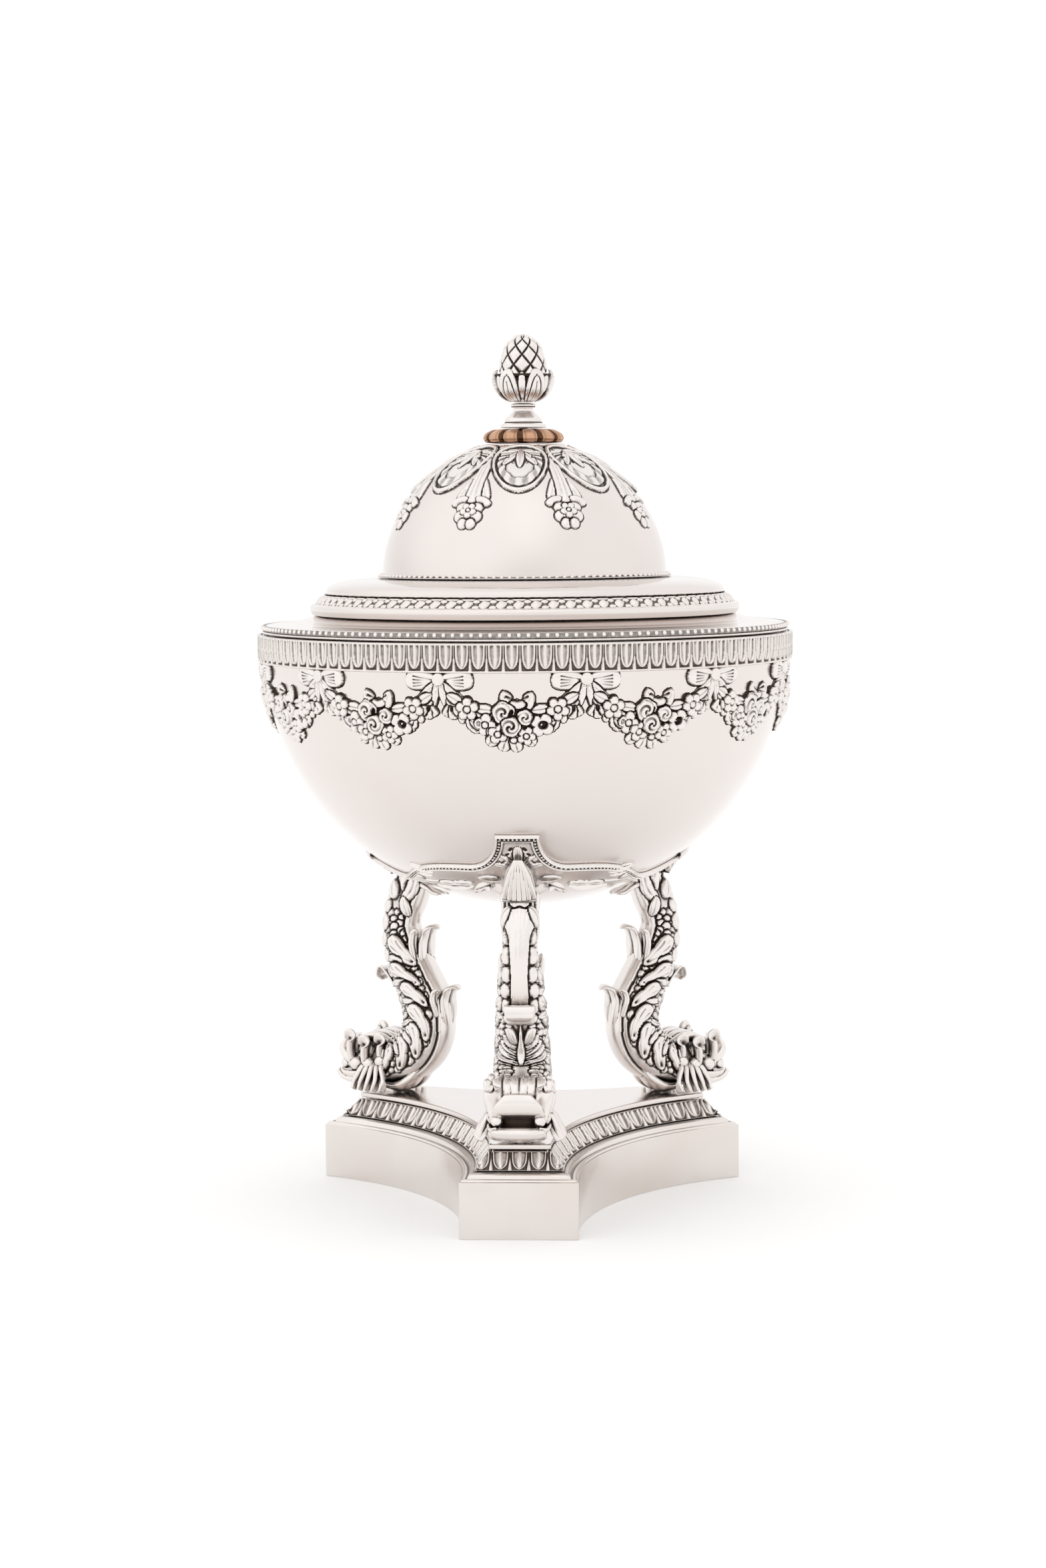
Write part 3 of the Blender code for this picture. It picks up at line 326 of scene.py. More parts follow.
class Relief:
    """Height field in mm over a patch; each shape is laid on it with a groove around."""

    def __init__(self, x, y, floor=FLOOR):
        self.x, self.y = x, y
        self.h = np.full(x.shape, floor, float)

    def lay(self, edge, height, base, moat, steep=2.2):
        ring = (edge > 0) & (edge < moat)
        self.h[ring] = np.minimum(self.h[ring], base - 0.5)
        wall = base - steep * np.maximum(edge, 0)
        self.h = np.where(edge <= 0, np.maximum(height, base), np.maximum(self.h, wall))
        return self

    def leaf(self, cx, cy, angle, length, width, rise, base=0.1, belly=0.45, blunt=0.6,
             rib=0.15, lobes=0, bend=0.0, moat=0.3, veins=0.10):
        s, t = local(self.x, self.y, cx, cy, math.radians(angle))
        t = t - bend * s * (1 - s / length)
        a = np.clip(s / length, 1e-3, 1 - 1e-3)
        q = blunt * (1 - belly) / max(belly, 0.1)
        p = blunt
        crest = p / (p + q)
        half = width / 2 * (a / crest) ** p * ((1 - a) / (1 - crest)) ** q
        if lobes:
            half = half * (0.80 + 0.20 * np.abs(np.sin(math.pi * lobes * a)) ** 0.7)
        beyond = np.maximum(np.maximum(-s, s - length), 0)
        edge = np.where(beyond > 0, np.hypot(beyond, np.maximum(np.abs(t) - half, 0)),
                        (np.abs(t) - half) * 0.9)
        across = np.clip(np.abs(t) / np.maximum(half, 1e-3), 0, 1)
        height = base + rise * np.sqrt(np.maximum(1 - across ** 3, 0)) * (0.6 + 0.4 * np.sin(math.pi * a))
        height = height - rib * np.exp(-(t / 0.22) ** 2)
        if lobes:
            phase = lobes * a - 0.55 * across
            height = height - veins * (0.5 + 0.5 * np.cos(TAU * phase)) * (0.3 + 0.7 * across)
        return self.lay(edge, height, base, moat)

    def flower(self, cx, cy, radius, petals, rise, base=0.2, twist=0.0, centre=0.3, moat=0.3):
        s, t = local(self.x, self.y, cx, cy, 0.0)
        r = np.hypot(s, t)
        lobe = np.abs(np.cos(petals * (np.arctan2(t, s) - twist) / 2))
        rim = radius * (0.60 + 0.40 * lobe ** 0.6)
        q = np.clip(r / rim, 0, 1)
        dish = 0.45 + 0.55 * np.sin(math.pi * np.clip(q, 0, 1) ** 1.4 * 0.93)
        height = base + rise * dish * (0.55 + 0.45 * lobe ** 0.5)
        core = centre * radius
        height = np.where(r < core, np.maximum(height, base + rise * 0.95
                                               * np.sqrt(np.maximum(1 - (r / core) ** 2, 0))), height)
        height = np.where(np.abs(r - core) < 0.14, base + 0.05 * rise, height)
        return self.lay(r - rim, height, base, moat)

    def rose(self, cx, cy, radius, rise, base=0.3, twist=0.0, turns=2.3, moat=0.35):
        s, t = local(self.x, self.y, cx, cy, 0.0)
        r = np.hypot(s, t)
        angle = np.arctan2(t, s)
        q = np.clip(r / radius, 0, 1)
        wave = 0.5 + 0.5 * np.cos(TAU * turns * q + 2 * angle + twist)
        rim = radius * (0.93 + 0.07 * np.cos(5 * angle + twist))
        height = base + rise * np.sqrt(np.maximum(1 - q ** 3, 0)) * (0.50 + 0.50 * wave ** 0.7)
        return self.lay(r - rim, height, base, moat)

    def ball(self, cx, cy, rx, ry, angle, rise, base=0.1, moat=0.25, power=2.0):
        s, t = local(self.x, self.y, cx, cy, math.radians(angle))
        q = np.hypot(s / rx, t / ry)
        height = base + rise * np.sqrt(np.maximum(1 - np.minimum(q, 1) ** power, 0))
        return self.lay((q - 1) * min(rx, ry), height, base, moat)

    def band(self, knots, widths, rise, base=0.15, flute=0.5, moat=0.3, flutes=1):
        """Fluted ribbon along a curve through the knots."""
        line = spline(knots, 12 * len(knots))
        wide = np.interp(np.linspace(0, 1, len(line)), np.linspace(0, 1, len(widths)), widths) / 2
        best = np.full(self.x.shape, 1e9)
        across = np.zeros(self.x.shape)
        half = np.ones(self.x.shape)
        for (ax, ay), (bx, by), w in zip(line, line[1:], wide):
            dx, dy = bx - ax, by - ay
            size = math.hypot(dx, dy) + 1e-9
            along = np.clip(((self.x - ax) * dx + (self.y - ay) * dy) / size ** 2, 0, 1)
            ox, oy = self.x - ax - along * dx, self.y - ay - along * dy
            away = np.hypot(ox, oy)
            nearer = away < best
            best = np.where(nearer, away, best)
            across = np.where(nearer, (ox * dy - oy * dx) / size, across)
            half = np.where(nearer, w, half)
        q = np.clip(best / half, 0, 1)
        groove = flute * (0.5 + 0.5 * np.cos(TAU * (flutes * across / (2 * half) + 0.5 * (flutes - 1))))
        height = base + rise * np.sqrt(np.maximum(1 - q ** 4, 0)) * (1 - groove * (1 - q ** 2))
        return self.lay(best - half, height, base, moat)

    def groove(self, knots, width, depth):
        line = spline(knots, 8 * len(knots))
        best = np.full(self.x.shape, 1e9)
        for (ax, ay), (bx, by) in zip(line, line[1:]):
            dx, dy = bx - ax, by - ay
            along = np.clip(((self.x - ax) * dx + (self.y - ay) * dy) / (dx * dx + dy * dy + 1e-9), 0, 1)
            best = np.minimum(best, np.hypot(self.x - ax - along * dx, self.y - ay - along * dy))
        self.h = self.h - depth * np.exp(-(best / width) ** 2)
        return self

    def pit(self, cx, cy, rx, ry, angle, depth):
        s, t = local(self.x, self.y, cx, cy, math.radians(angle))
        self.h = self.h - depth * np.exp(-(np.hypot(s / rx, t / ry)) ** 4)
        return self

    def patina_and_shade(self, cells=4.0, gain=2.4, wrap=False, bias=0.0):
        """Dark where the field lies below its neighbourhood or slopes steeply: oxide in the hollows plus
        painted shade and painted form shading.
        """
        fine = blur(self.h, cells * 0.45, wrap) - self.h
        wide = blur(self.h, cells * 1.3, wrap) - self.h
        down, over = np.gradient(self.h)
        step = abs(self.x[0, 1] - self.x[0, 0])
        # steep walls darkened: painted form shading
        slope = np.clip(np.hypot(down, over) / step - 0.30, 0, 1.4)
        broad = np.clip(blur(self.h, cells * 2.6, wrap) - self.h, 0, 1)
        return np.clip(gain * (0.7 * fine + 0.5 * wide + 0.25 * broad) + 0.36 * slope + bias, 0, 1)

    def skirt(self, cells=2.0):
        """Thin foot round everything that stands up, which callers darken as painted contact shadow plus
        oxide; returns where it lies.
        """
        up = self.h > 0.02
        foot = (blur(up.astype(float), cells) > 0.08) & ~up
        self.h[foot] = 0.03
        return foot

    def keep(self):
        """Cells that stand above the floor anywhere."""
        up = self.h > FLOOR * 0.8
        cell = up[:-1, :-1] | up[1:, :-1] | up[:-1, 1:] | up[1:, 1:]
        return grid_quads(*self.h.shape)[cell.ravel()]


def occlusion(points, quads, reach=2.6, rays=10):
    """Share of short rays from each vertex that meet the same shape: 0 open, 1 shut in."""
    tree = BVHTree.FromPolygons([Vector(p) for p in points], [tuple(q) for q in quads.tolist()])
    normal = np.zeros_like(points)
    a, b, c, d = (points[quads[:, k]] for k in range(4))
    face = np.cross(c - a, d - b)
    for k in range(4):
        np.add.at(normal, quads[:, k], face)
    normal /= np.linalg.norm(normal, axis=1, keepdims=True) + 1e-12
    spread = []
    for k in range(rays):
        z = 1 - (k + 0.5) / rays * 0.85
        turn_k = k * 2.399963
        s = math.sqrt(1 - z * z)
        spread.append((s * math.cos(turn_k), s * math.sin(turn_k), z))
    shut = np.zeros(len(points))
    side = np.cross(normal, np.where(np.abs(normal[:, 2:3]) < 0.9, [[0, 0, 1.0]], [[1.0, 0, 0]]))
    side /= np.linalg.norm(side, axis=1, keepdims=True) + 1e-12
    third = np.cross(normal, side)
    start = points + normal * 0.06
    for x, y, z in spread:
        ways = side * x + third * y + normal * z
        for index in range(len(points)):
            if tree.ray_cast(start[index], ways[index], reach)[0] is not None:
                shut[index] += 1
    return shut / rays


# ------------------------------------------------------------------ bowl

BOWL_R = high("bowl_shell")[0]
RIM_Z = high("bowl_shell")[2]
BOWL_Z = low("bowl_shell")[2] + BOWL_R
BAND_R = high("rim_leaf_band")[0]
BAND_Z = low("rim_leaf_band")[2]
WALL = 1.2
INSIDE = np.array([0.0, 0.0, BOWL_Z])


def facing(points, quads, centre):
    """The faces, turned so that they look away from the centre."""
    a, b, c, d = (points[quads[:, k]] for k in range(4))
    normal = np.cross(c - a, d - b)
    if np.sum(normal * ((a + b + c + d) / 4 - centre)) < 0:
        return quads[:, ::-1]
    return quads


def on_bowl(azimuth, polar, outside):
    r = BOWL_R + outside
    return np.stack([r * np.sin(polar) * np.cos(azimuth), r * np.sin(polar) * np.sin(azimuth),
                     BOWL_Z - r * np.cos(polar)], -1)


def build_bowl():
    polar = np.linspace(0.0004, math.pi / 2, 64)
    outer = np.stack([BOWL_R * np.sin(polar), BOWL_Z - BOWL_R * np.cos(polar)], -1)
    inner_r = BOWL_R - WALL
    inner = np.stack([inner_r * np.sin(polar), BOWL_Z - inner_r * np.cos(polar)], -1)
    lip = rounded([outer[-1], (BOWL_R, RIM_Z), (inner_r, RIM_Z), inner[-1]], 0.3)[1:-1]
    shape = spin(np.vstack([outer, lip, inner[::-1]]), 300)
    weighted(shape.piece("bowl_body", STAND, "polished_silver", polished, "bowl_shell"))


def weighted(piece):
    piece.modifiers.new("even_shading", "WEIGHTED_NORMAL").keep_sharp = True
    return piece


def tongues(x, y, pitch, top, bottom, relief, fillet=0.75):
    """One tongue of a tongue-and-dart moulding between two fillets; y runs down from 0."""
    x = (x + pitch / 2) % pitch - pitch / 2
    end = bottom - fillet
    start = top + fillet
    span = end - 0.25 - start
    a = np.clip((y - start) / span, 0, 1)
    half = 0.44 * pitch * np.sqrt(np.maximum(1 - a ** 3.4, 0))
    edge = np.abs(x) - half
    inside = edge < 0
    rim = np.exp(-((edge + 0.34) / 0.27) ** 2)
    rib = 0.75 * np.exp(-(x / (0.09 * pitch)) ** 2) * (1 - a ** 3)
    field = 0.12 * relief + relief * np.where(inside, np.maximum(rim, 0.25 + rib * 0.6), 0.0)
    dart_half = 0.13 * pitch * np.clip((a - 0.25) / 0.75, 0, 1)
    from_edge = pitch / 2 - np.abs(x)
    dart = np.sqrt(np.maximum(1 - (from_edge / np.maximum(dart_half, 1e-3)) ** 2, 0))
    field = np.where(inside, field, np.maximum(field, 0.12 * relief + relief * 0.75 * dart))
    for middle in (top + fillet * 0.45, bottom - fillet * 0.45):
        roll = np.sqrt(np.maximum(1 - ((y - middle) / (fillet * 0.5)) ** 2, 0))
        field = np.maximum(field, relief * 1.0 * roll)
    return field


def build_rim_band():
    count, columns = 108, 22
    height = RIM_Z - BAND_Z
    base = BOWL_R + 0.25
    relief = BAND_R - base
    pitch = TAU * BAND_R / count
    y = np.linspace(0, height, 46)
    x = np.arange(count // 3 * columns + 1) / columns * pitch
    gx, gy = np.meshgrid(x, y)
    field = tongues(gx, gy, pitch, 0.0, height, relief)
    # darker in the hollows and where the relief is low: oxide plus painted shade
    fine = blur(field, 2.6, True) - field
    dark = np.clip(2.6 * fine + 0.25 * (1 - field / relief) - 0.05, 0, 1)
    field = np.minimum(field, relief)
    field[[0, -1]] = 0.0
    azimuth = FRONT + gx / BAND_R
    r = base + field
    points = np.stack([r * np.cos(azimuth), r * np.sin(azimuth), RIM_Z - gy], -1).reshape(-1, 3)
    quads = facing(points, grid_quads(*gx.shape), INSIDE)
    third = Shape().add(points, quads, dark.ravel())
    for index in range(3):
        third.turned(TAU * index / 3).piece(f"rim_tongue_band_{index + 1}", STAND, "chased_silver",
                                            banded, *(["rim_leaf_band"] if index == 0 else []))


# ------------------------------------------------------------------ garland

def swag_relief():
    """Half-pitch either way from the middle flower cluster; y runs down from the rim band."""
    width = TAU / 12 * BOWL_R
    x, y = np.meshgrid(np.linspace(-width / 2, width / 2, 250), np.linspace(-0.2, 20.2, 140))
    work = Relief(x, y)
    # low bed that the leaves and flowers grow from, dark with oxide plus painted shade between the motifs
    work.band([(-15.2, 7.0), (-11.0, 9.8), (-6.0, 12.2), (0.0, 13.4), (6.0, 12.2), (11.0, 9.8),
               (15.2, 7.0)], (2.6, 3.2, 4.6, 8.6, 4.6, 3.2, 2.6), 0.12, base=0.02, flute=0.0)
    for side in (-1, 1):
        s = side
        # fluted loop beside the ball, then the ribbon tails that fall from it
        work.leaf(s * 18.2, 1.7, 90 + s * 90, 8.6, 4.9, 1.25, base=0.30, belly=0.62, blunt=0.52,
                  rib=0.0)
        for rank in (-1.5, -0.5, 0.5, 1.5):
            work.groove([(s * 16.8, 1.8 + 0.15 * rank), (s * 13.8, 1.9 + 0.62 * rank),
                         (s * 11.9, 1.9 + 0.85 * rank)], 0.22, 0.42)
        work.band([(s * 17.9, 2.2), (s * 16.0, 4.1), (s * 13.4, 6.6)], (1.4, 2.7, 2.2), 1.0,
                  base=0.45, flute=0.6, flutes=2)
        work.band([(s * 17.7, 2.6), (s * 17.3, 5.2), (s * 16.6, 7.6)], (1.2, 1.9, 1.5), 0.85,
                  base=0.35, flute=0.5)
        # open bell flower below the tails
        for turn_k, reach in ((-58, 3.9), (-90, 4.1), (-122, 3.6)):
            work.leaf(s * 15.0, 7.2, -turn_k if s > 0 else 180 + turn_k, reach, 2.3, 1.1, base=0.25,
                      belly=0.72, blunt=0.45, rib=0.35)
        work.ball(s * 15.2, 7.0, 1.3, 1.0, 20, 1.0, base=0.55)
        work.pit(s * 15.3, 8.6, 0.55, 0.9, 0, 1.1)
        # five-petal flower on the arm among leaves
        work.leaf(s * 12.4, 7.4, 90 - s * 120, 4.6, 2.6, 0.8, base=0.25, belly=0.5, rib=0.3)
        work.leaf(s * 13.4, 9.8, 90 + s * 60, 4.2, 2.5, 0.8, base=0.2, belly=0.5, rib=0.3)
        work.leaf(s * 12.6, 9.6, 90 - s * 4, 2.9, 2.0, 0.8, base=0.2, belly=0.5, rib=0.3)
        work.leaf(s * 9.8, 9.4, 90 + s * 84, 5.6, 3.3, 0.95, base=0.3, belly=0.45, rib=0.4, lobes=3,
                  veins=0.2)
        work.leaf(s * 4.6, 9.2, 90 - s * 98, 4.8, 2.5, 0.8, base=0.25, belly=0.5, rib=0.35)
        work.leaf(s * 11.4, 10.4, 90 + s * 30, 5.2, 3.3, 1.0, base=0.2, belly=0.5, rib=0.4, lobes=3,
                  veins=0.2)
        work.leaf(s * 10.8, 11.6, 90 + s * 66, 5.6, 2.9, 0.9, base=0.2, belly=0.45, rib=0.35)
        work.flower(s * 11.2, 8.7, 2.85, 5, 1.3, base=0.55, twist=0.3 * s, centre=0.34)
    # open flowers of the lower arms, different left and right
    work.flower(7.3, 12.8, 3.1, 4, 1.2, base=0.45, twist=0.6, centre=0.2)
    work.pit(7.7, 12.7, 1.15, 1.0, 0, 1.2)
    work.flower(-6.9, 12.6, 2.75, 4, 1.2, base=0.45, twist=0.2, centre=0.34)
    work.pit(-8.5, 12.3, 0.6, 0.8, 0, 0.9)
    work.leaf(-6.2, 13.4, 62, 4.6, 2.8, 0.9, base=0.3, belly=0.55, rib=0.3)
    # leaf cup over the middle cluster
    work.leaf(-0.4, 9.2, -112, 5.2, 3.2, 1.1, base=0.45, belly=0.5, rib=0.35)
    work.leaf(2.7, 9.6, -66, 5.4, 3.2, 1.1, base=0.45, belly=0.5, rib=0.35)
    work.ball(1.2, 7.6, 2.2, 1.2, 0, 0.9, base=0.45)
    work.groove([(-1.4, 5.6), (1.2, 6.7), (3.8, 5.6)], 0.34, 0.9)
    # bottom blossoms and leaves
    work.leaf(-1.2, 14.6, 108, 5.2, 3.4, 1.0, base=0.25, belly=0.6, blunt=0.5, rib=0.4)
    work.leaf(0.0, 14.8, 76, 5.1, 3.2, 1.0, base=0.3, belly=0.6, blunt=0.5, rib=0.4)
    work.leaf(2.4, 14.4, 50, 4.8, 3.0, 1.0, base=0.25, belly=0.6, blunt=0.5, rib=0.35)
    work.leaf(-3.2, 14.2, 130, 5.0, 3.1, 1.0, base=0.25, belly=0.6, blunt=0.5, rib=0.4)
    work.flower(-3.8, 15.0, 2.5, 4, 1.15, base=0.5, twist=0.5, centre=0.36)
    work.flower(3.4, 15.5, 2.4, 5, 1.15, base=0.5, twist=0.1, centre=0.34)
    work.ball(0.2, 16.6, 0.9, 0.8, 0, 0.8, base=0.6)
    # the three roses
    work.rose(3.1, 10.8, 2.1, 1.3, base=0.6, twist=0.5, turns=1.5)
    work.rose(-2.2, 9.6, 2.95, 1.45, base=0.6, twist=2.0, turns=1.9)
    work.pit(-0.3, 9.8, 0.6, 1.0, 20, 1.1)
    work.rose(-0.5, 13.1, 2.65, 1.5, base=0.7, twist=0.0, turns=1.8)
    return work


def bow_relief():
    """Ball with ribbon ends, between two swags."""
    x, y = np.meshgrid(np.linspace(-2.6, 2.6, 48), np.linspace(-0.2, 4.6, 44))
    work = Relief(x, y)
    work.leaf(0.0, 2.4, 62, 2.6, 1.2, 0.7, base=0.6, rib=0.2)
    work.leaf(0.0, 2.4, 118, 2.6, 1.2, 0.7, base=0.6, rib=0.2)
    work.ball(0.0, 1.45, 1.6, 1.6, 0, 1.25, base=0.75)
    return work


def place_on_bowl(work, azimuth, lift):
    """Lay a relief patch on the bowl, centred at the azimuth, below the rim band."""
    start = math.acos((BOWL_Z - BAND_Z) / BOWL_R)
    polar = start - work.y / BOWL_R
    return on_bowl(azimuth + work.x / BOWL_R, polar, work.h * lift)


def build_garland():
    swag, bow = swag_relief(), bow_relief()
    shade_and_oxide_fields = []
    for work in (swag, bow):
        # darker where the relief is low and on the thin foot round each motif: oxide plus painted shade and
        # painted contact shadow
        foot = work.skirt(1.6)
        dark = work.patina_and_shade(2.6, 2.6) + 1.3 * np.clip(0.36 - work.h, 0, 0.6)
        shade_and_oxide_fields.append(np.clip(np.where(foot, 0.85, dark), 0, 1))
    swag_dark, bow_dark = shade_and_oxide_fields
    for index in range(12):
        azimuth = FRONT + TAU * index / 12
        for kind, work, dark, place in (("swag", swag, swag_dark, azimuth),
                                        ("bow", bow, bow_dark, azimuth + TAU / 24)):
            points = place_on_bowl(work, place, 1.0).reshape(-1, 3)
            beyond = np.hypot(points[:, 0], points[:, 1]) - (BAND_R - 0.05)
            shrink = np.where(beyond > 0, 1 - beyond / BAND_R, 1.0)
            points[:, :2] *= shrink[:, None]
            quads = facing(points, work.keep(), INSIDE)
            Shape().add(points, quads, dark.ravel()).piece(
                f"garland_{kind}_relief_{index + 1:02d}", STAND, "chased_silver", chased,
                f"garland_{kind}_{index + 1:02d}")


# ------------------------------------------------------------------ lid

LID_R = high("lid_flange")[0]
LID_Z = low("lid_flange")[2]
EDGE_Z = LID_Z + 2.0
FLANGE_TOP = high("lid_flange")[2]
RING_R = high("lid_leaf_ring")[0]
RING_Z, RING_TOP = low("lid_leaf_ring")[2], high("lid_leaf_ring")[2]
STEP_R = high("lid_domed_step")[0]
STEP_Z, STEP_TOP = low("lid_domed_step")[2], high("lid_domed_step")[2]
DOME_A = high("lid_dome")[0]
DOME_Z = low("lid_dome")[2]
DISC_R = high("finial_disc")[0]
DISC_Z, DISC_TOP = low("finial_disc")[2], high("finial_disc")[2]
DOME_B = (high("lid_dome")[2] - DOME_Z) / math.sqrt(1 - ((DISC_R + 0.3) / DOME_A) ** 2)


def build_lid_turnings():
    foot = RING_R - 1.6
    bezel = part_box("lid_bezel")
    bezel_out = bezel[1][0] * 1000
    flange = rounded([
        (bezel_out - 1.0, LID_Z), (LID_R - 0.35, LID_Z), (LID_R - 0.3, LID_Z + 0.55),
        (LID_R - 1.2, LID_Z + 0.8), (LID_R - 1.2, EDGE_Z - 0.1), (LID_R - 2.0, EDGE_Z + 0.12),
        (LID_R - 4.2, EDGE_Z + 0.30), (LID_R - 7.5, EDGE_Z + 0.62), (LID_R - 10.6, EDGE_Z + 1.15),
        (foot + 1.3, FLANGE_TOP - 0.55), (foot - 0.2, FLANGE_TOP), (foot - 4.0, FLANGE_TOP),
        (foot - 4.0, FLANGE_TOP - 1.0), (foot, FLANGE_TOP - 1.0), (LID_R - 7.4, EDGE_Z - 0.4),
        (bezel_out - 1.0, EDGE_Z - 1.0), (bezel_out - 1.0, LID_Z)], 0.5)
    weighted(spin(flange[:-1], 360).piece("lid_flange_turned", LID, "polished_silver", polished,
                                          "lid_flange"))
    bead_row(LID_BEADS, LID_R - 0.62, EDGE_Z - 0.52, 0.60).piece(
        "lid_edge_beads", LID, "chased_silver", chased, "lid_edge_beading")
    # dark band behind the beads: painted shade between them, plus oxide
    lip = spin(rounded([(LID_R - 1.4, LID_Z + 0.75), (LID_R - 0.55, LID_Z + 0.75),
                        (LID_R - 0.55, EDGE_Z + 0.02), (LID_R - 1.4, EDGE_Z + 0.02)], 0.1), 240, 0.55)
    lip.piece("lid_bead_groove", LID, "chased_silver", chased)

    crown = DOME_A + 0.9
    sweep = np.linspace(0, math.pi / 2, 26)
    dome_part = np.stack([crown + (STEP_R - 0.5 - crown) * np.cos(sweep) ** 0.92,
                          STEP_Z + 0.7 + (STEP_TOP - STEP_Z - 0.7) * np.sin(sweep)], -1)
    step = np.vstack([[(STEP_R, STEP_Z), (STEP_R, STEP_Z + 0.35), (STEP_R - 0.4, STEP_Z + 0.55)],
                      dome_part, [(DOME_A - 1.4, STEP_TOP), (DOME_A - 1.4, STEP_TOP - 1.0)],
                      dome_part[::-3] - (1.0, 1.0), [(STEP_R - 2.8, STEP_Z)]])
    weighted(spin(step, 360).piece("lid_step_turned", LID, "polished_silver", polished,
                                   "lid_domed_step"))

    start = math.asin((DISC_R + 0.3) / DOME_A)
    polar = np.linspace(start, math.pi / 2, 60)
    outer = np.stack([DOME_A * np.sin(polar), DOME_Z + DOME_B * np.cos(polar)], -1)
    inner = np.stack([(DOME_A - 1) * np.sin(polar), DOME_Z + (DOME_B - 1) * np.cos(polar)], -1)
    top = [(1.5, outer[0][1])]
    dome = np.vstack([top, outer, inner[::-1], [(1.5, inner[0][1])]])
    weighted(spin(dome, 360).piece("lid_dome_turned", LID, "polished_silver", polished, "lid_dome"))
    bead_row(DOME_BEADS, DOME_A + 0.62, DOME_Z + 0.45, 0.52).piece(
        "dome_foot_beads", LID, "chased_silver", chased, "dome_foot_beading")
    # dark band behind the dome-foot beads: painted shade between them, plus oxide
    spin([(DOME_A + 0.1, DOME_Z + 0.05), (DOME_A + 1.3, DOME_Z + 0.05), (DOME_A + 1.2, DOME_Z + 0.3),
          (DOME_A + 0.1, DOME_Z + 0.35)], 240, 0.35).piece(
        "dome_foot_groove", LID, "chased_silver", chased)

    low_b, high_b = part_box("lid_bezel")
    bezel = rounded([(bezel_out - 1.0, low_b[2] * 1000), (bezel_out, low_b[2] * 1000),
                     (bezel_out, high_b[2] * 1000), (bezel_out - 1.0, high_b[2] * 1000),
                     (bezel_out - 1.0, low_b[2] * 1000)], 0.2)
    spin(bezel[:-1], 240).piece("lid_bezel_turned", LID, "polished_silver", polished, "lid_bezel")
    disc = rounded([(1.5, DISC_Z), (DISC_R, DISC_Z), (DISC_R, DISC_TOP), (1.5, DISC_TOP)], 0.25)
    spin(disc, 160).piece("finial_disc_turned", LID, "polished_silver", polished, "finial_disc")


def build_leaf_ring():
    """Smooth roll with a sloping band of small crossed leaves above it."""
    count, columns = RING_LEAVES, 18
    foot = RING_R - 0.9
    seat = RING_Z - FLANGE_TOP
    outline = spline([(foot - 3.0, RING_Z), (foot - 0.2, RING_Z - seat * 0.9), (foot + 0.6, RING_Z + 0.35),
                      (RING_R, RING_Z + 1.4), (RING_R - 0.25, RING_Z + 2.3),
                      (RING_R - 0.95, RING_Z + 2.65), (RING_R - 1.5, RING_Z + 3.0),
                      (RING_R - 2.4, RING_Z + 3.9), (RING_R - 3.3, RING_TOP - 0.25),
                      (RING_R - 3.9, RING_TOP), (foot - 3.0, RING_TOP)], 82)
    along = np.concatenate([[0], np.cumsum(np.linalg.norm(np.diff(outline, axis=0), axis=1))])
    slope = np.gradient(outline, axis=0)
    normal = np.stack([slope[:, 1], -slope[:, 0]], -1)
    normal /= np.linalg.norm(normal, axis=1, keepdims=True) + 1e-9
    first = along[np.argmin(np.abs(outline[:, 1] - (RING_Z + 2.75)) + (outline[:, 0] < RING_R - 2))]
    last = along[np.argmin(np.abs(outline[:, 0] - (RING_R - 3.75)))]
    pitch = TAU * (RING_R - 2) / count
    x = np.arange(count * columns) / columns * pitch
    gx, gy = np.meshgrid(x, along)
    u = (gx % pitch) - pitch / 2
    v = (gy - (first + last) / 2) / (last - first) * 2
    band = np.clip(1 - np.abs(v) ** 8, 0, 1)
    tilt = u - 0.35 * v
    oval = np.hypot(tilt / (0.30 * pitch), v / 0.80)
    field = 0.55 * np.sqrt(np.maximum(1 - oval ** 2, 0))
    field += 0.10 * np.cos(TAU * 2.0 * (u + 0.5 * v) / pitch) * (oval < 0.9)
    for side in (-1, 1):
        near = (u - side * pitch * 0.5) % pitch
        near = np.minimum(near, pitch - near)
        wedge = np.hypot(near / (0.22 * pitch), (v - side * 0.62) / 0.42)
        field = np.maximum(field, 0.45 * np.sqrt(np.maximum(1 - wedge ** 2, 0)))
    field = (field - 0.38) * band
    # darker in the hollows and the deep cells between leaves: oxide plus painted shade
    dark = 2.4 * (blur(field, 2.2, True) - field) + 0.5 * band * (field < -0.28)
    dark = np.clip(dark, 0, 1) * (np.abs(v) < 1.02)
    azimuth = gx / (RING_R - 2)
    r = outline[:, 0][:, None] + normal[:, 0][:, None] * field
    z = outline[:, 1][:, None] + normal[:, 1][:, None] * field
    r, z = np.minimum(r, RING_R), np.clip(z, RING_Z - seat * 0.9, RING_TOP)
    points = np.stack([r * np.cos(azimuth), r * np.sin(azimuth), z], -1).reshape(-1, 3)
    quads = facing(points, grid_quads(*gx.shape, False, True), np.array([0, 0, RING_Z - 30.0]))
    half = len(quads) // 2
    Shape().add(points, quads[:half], dark.ravel()).piece(
        "lid_leaf_ring_lower", LID, "chased_silver", banded, "lid_leaf_ring")
    Shape().add(points, quads[half:], dark.ravel()).piece(
        "lid_leaf_ring_upper", LID, "chased_silver", banded)


def dome_spot(azimuth, polar, outside):
    r, z = DOME_A * np.sin(polar), DOME_B * np.cos(polar)
    nr, nz = np.sin(polar) / DOME_A, np.cos(polar) / DOME_B
    size = np.hypot(nr, nz)
    r, z = r + outside * nr / size, z + outside * nz / size
    return np.stack([r * np.cos(azimuth), r * np.sin(azimuth), DOME_Z + z], -1)


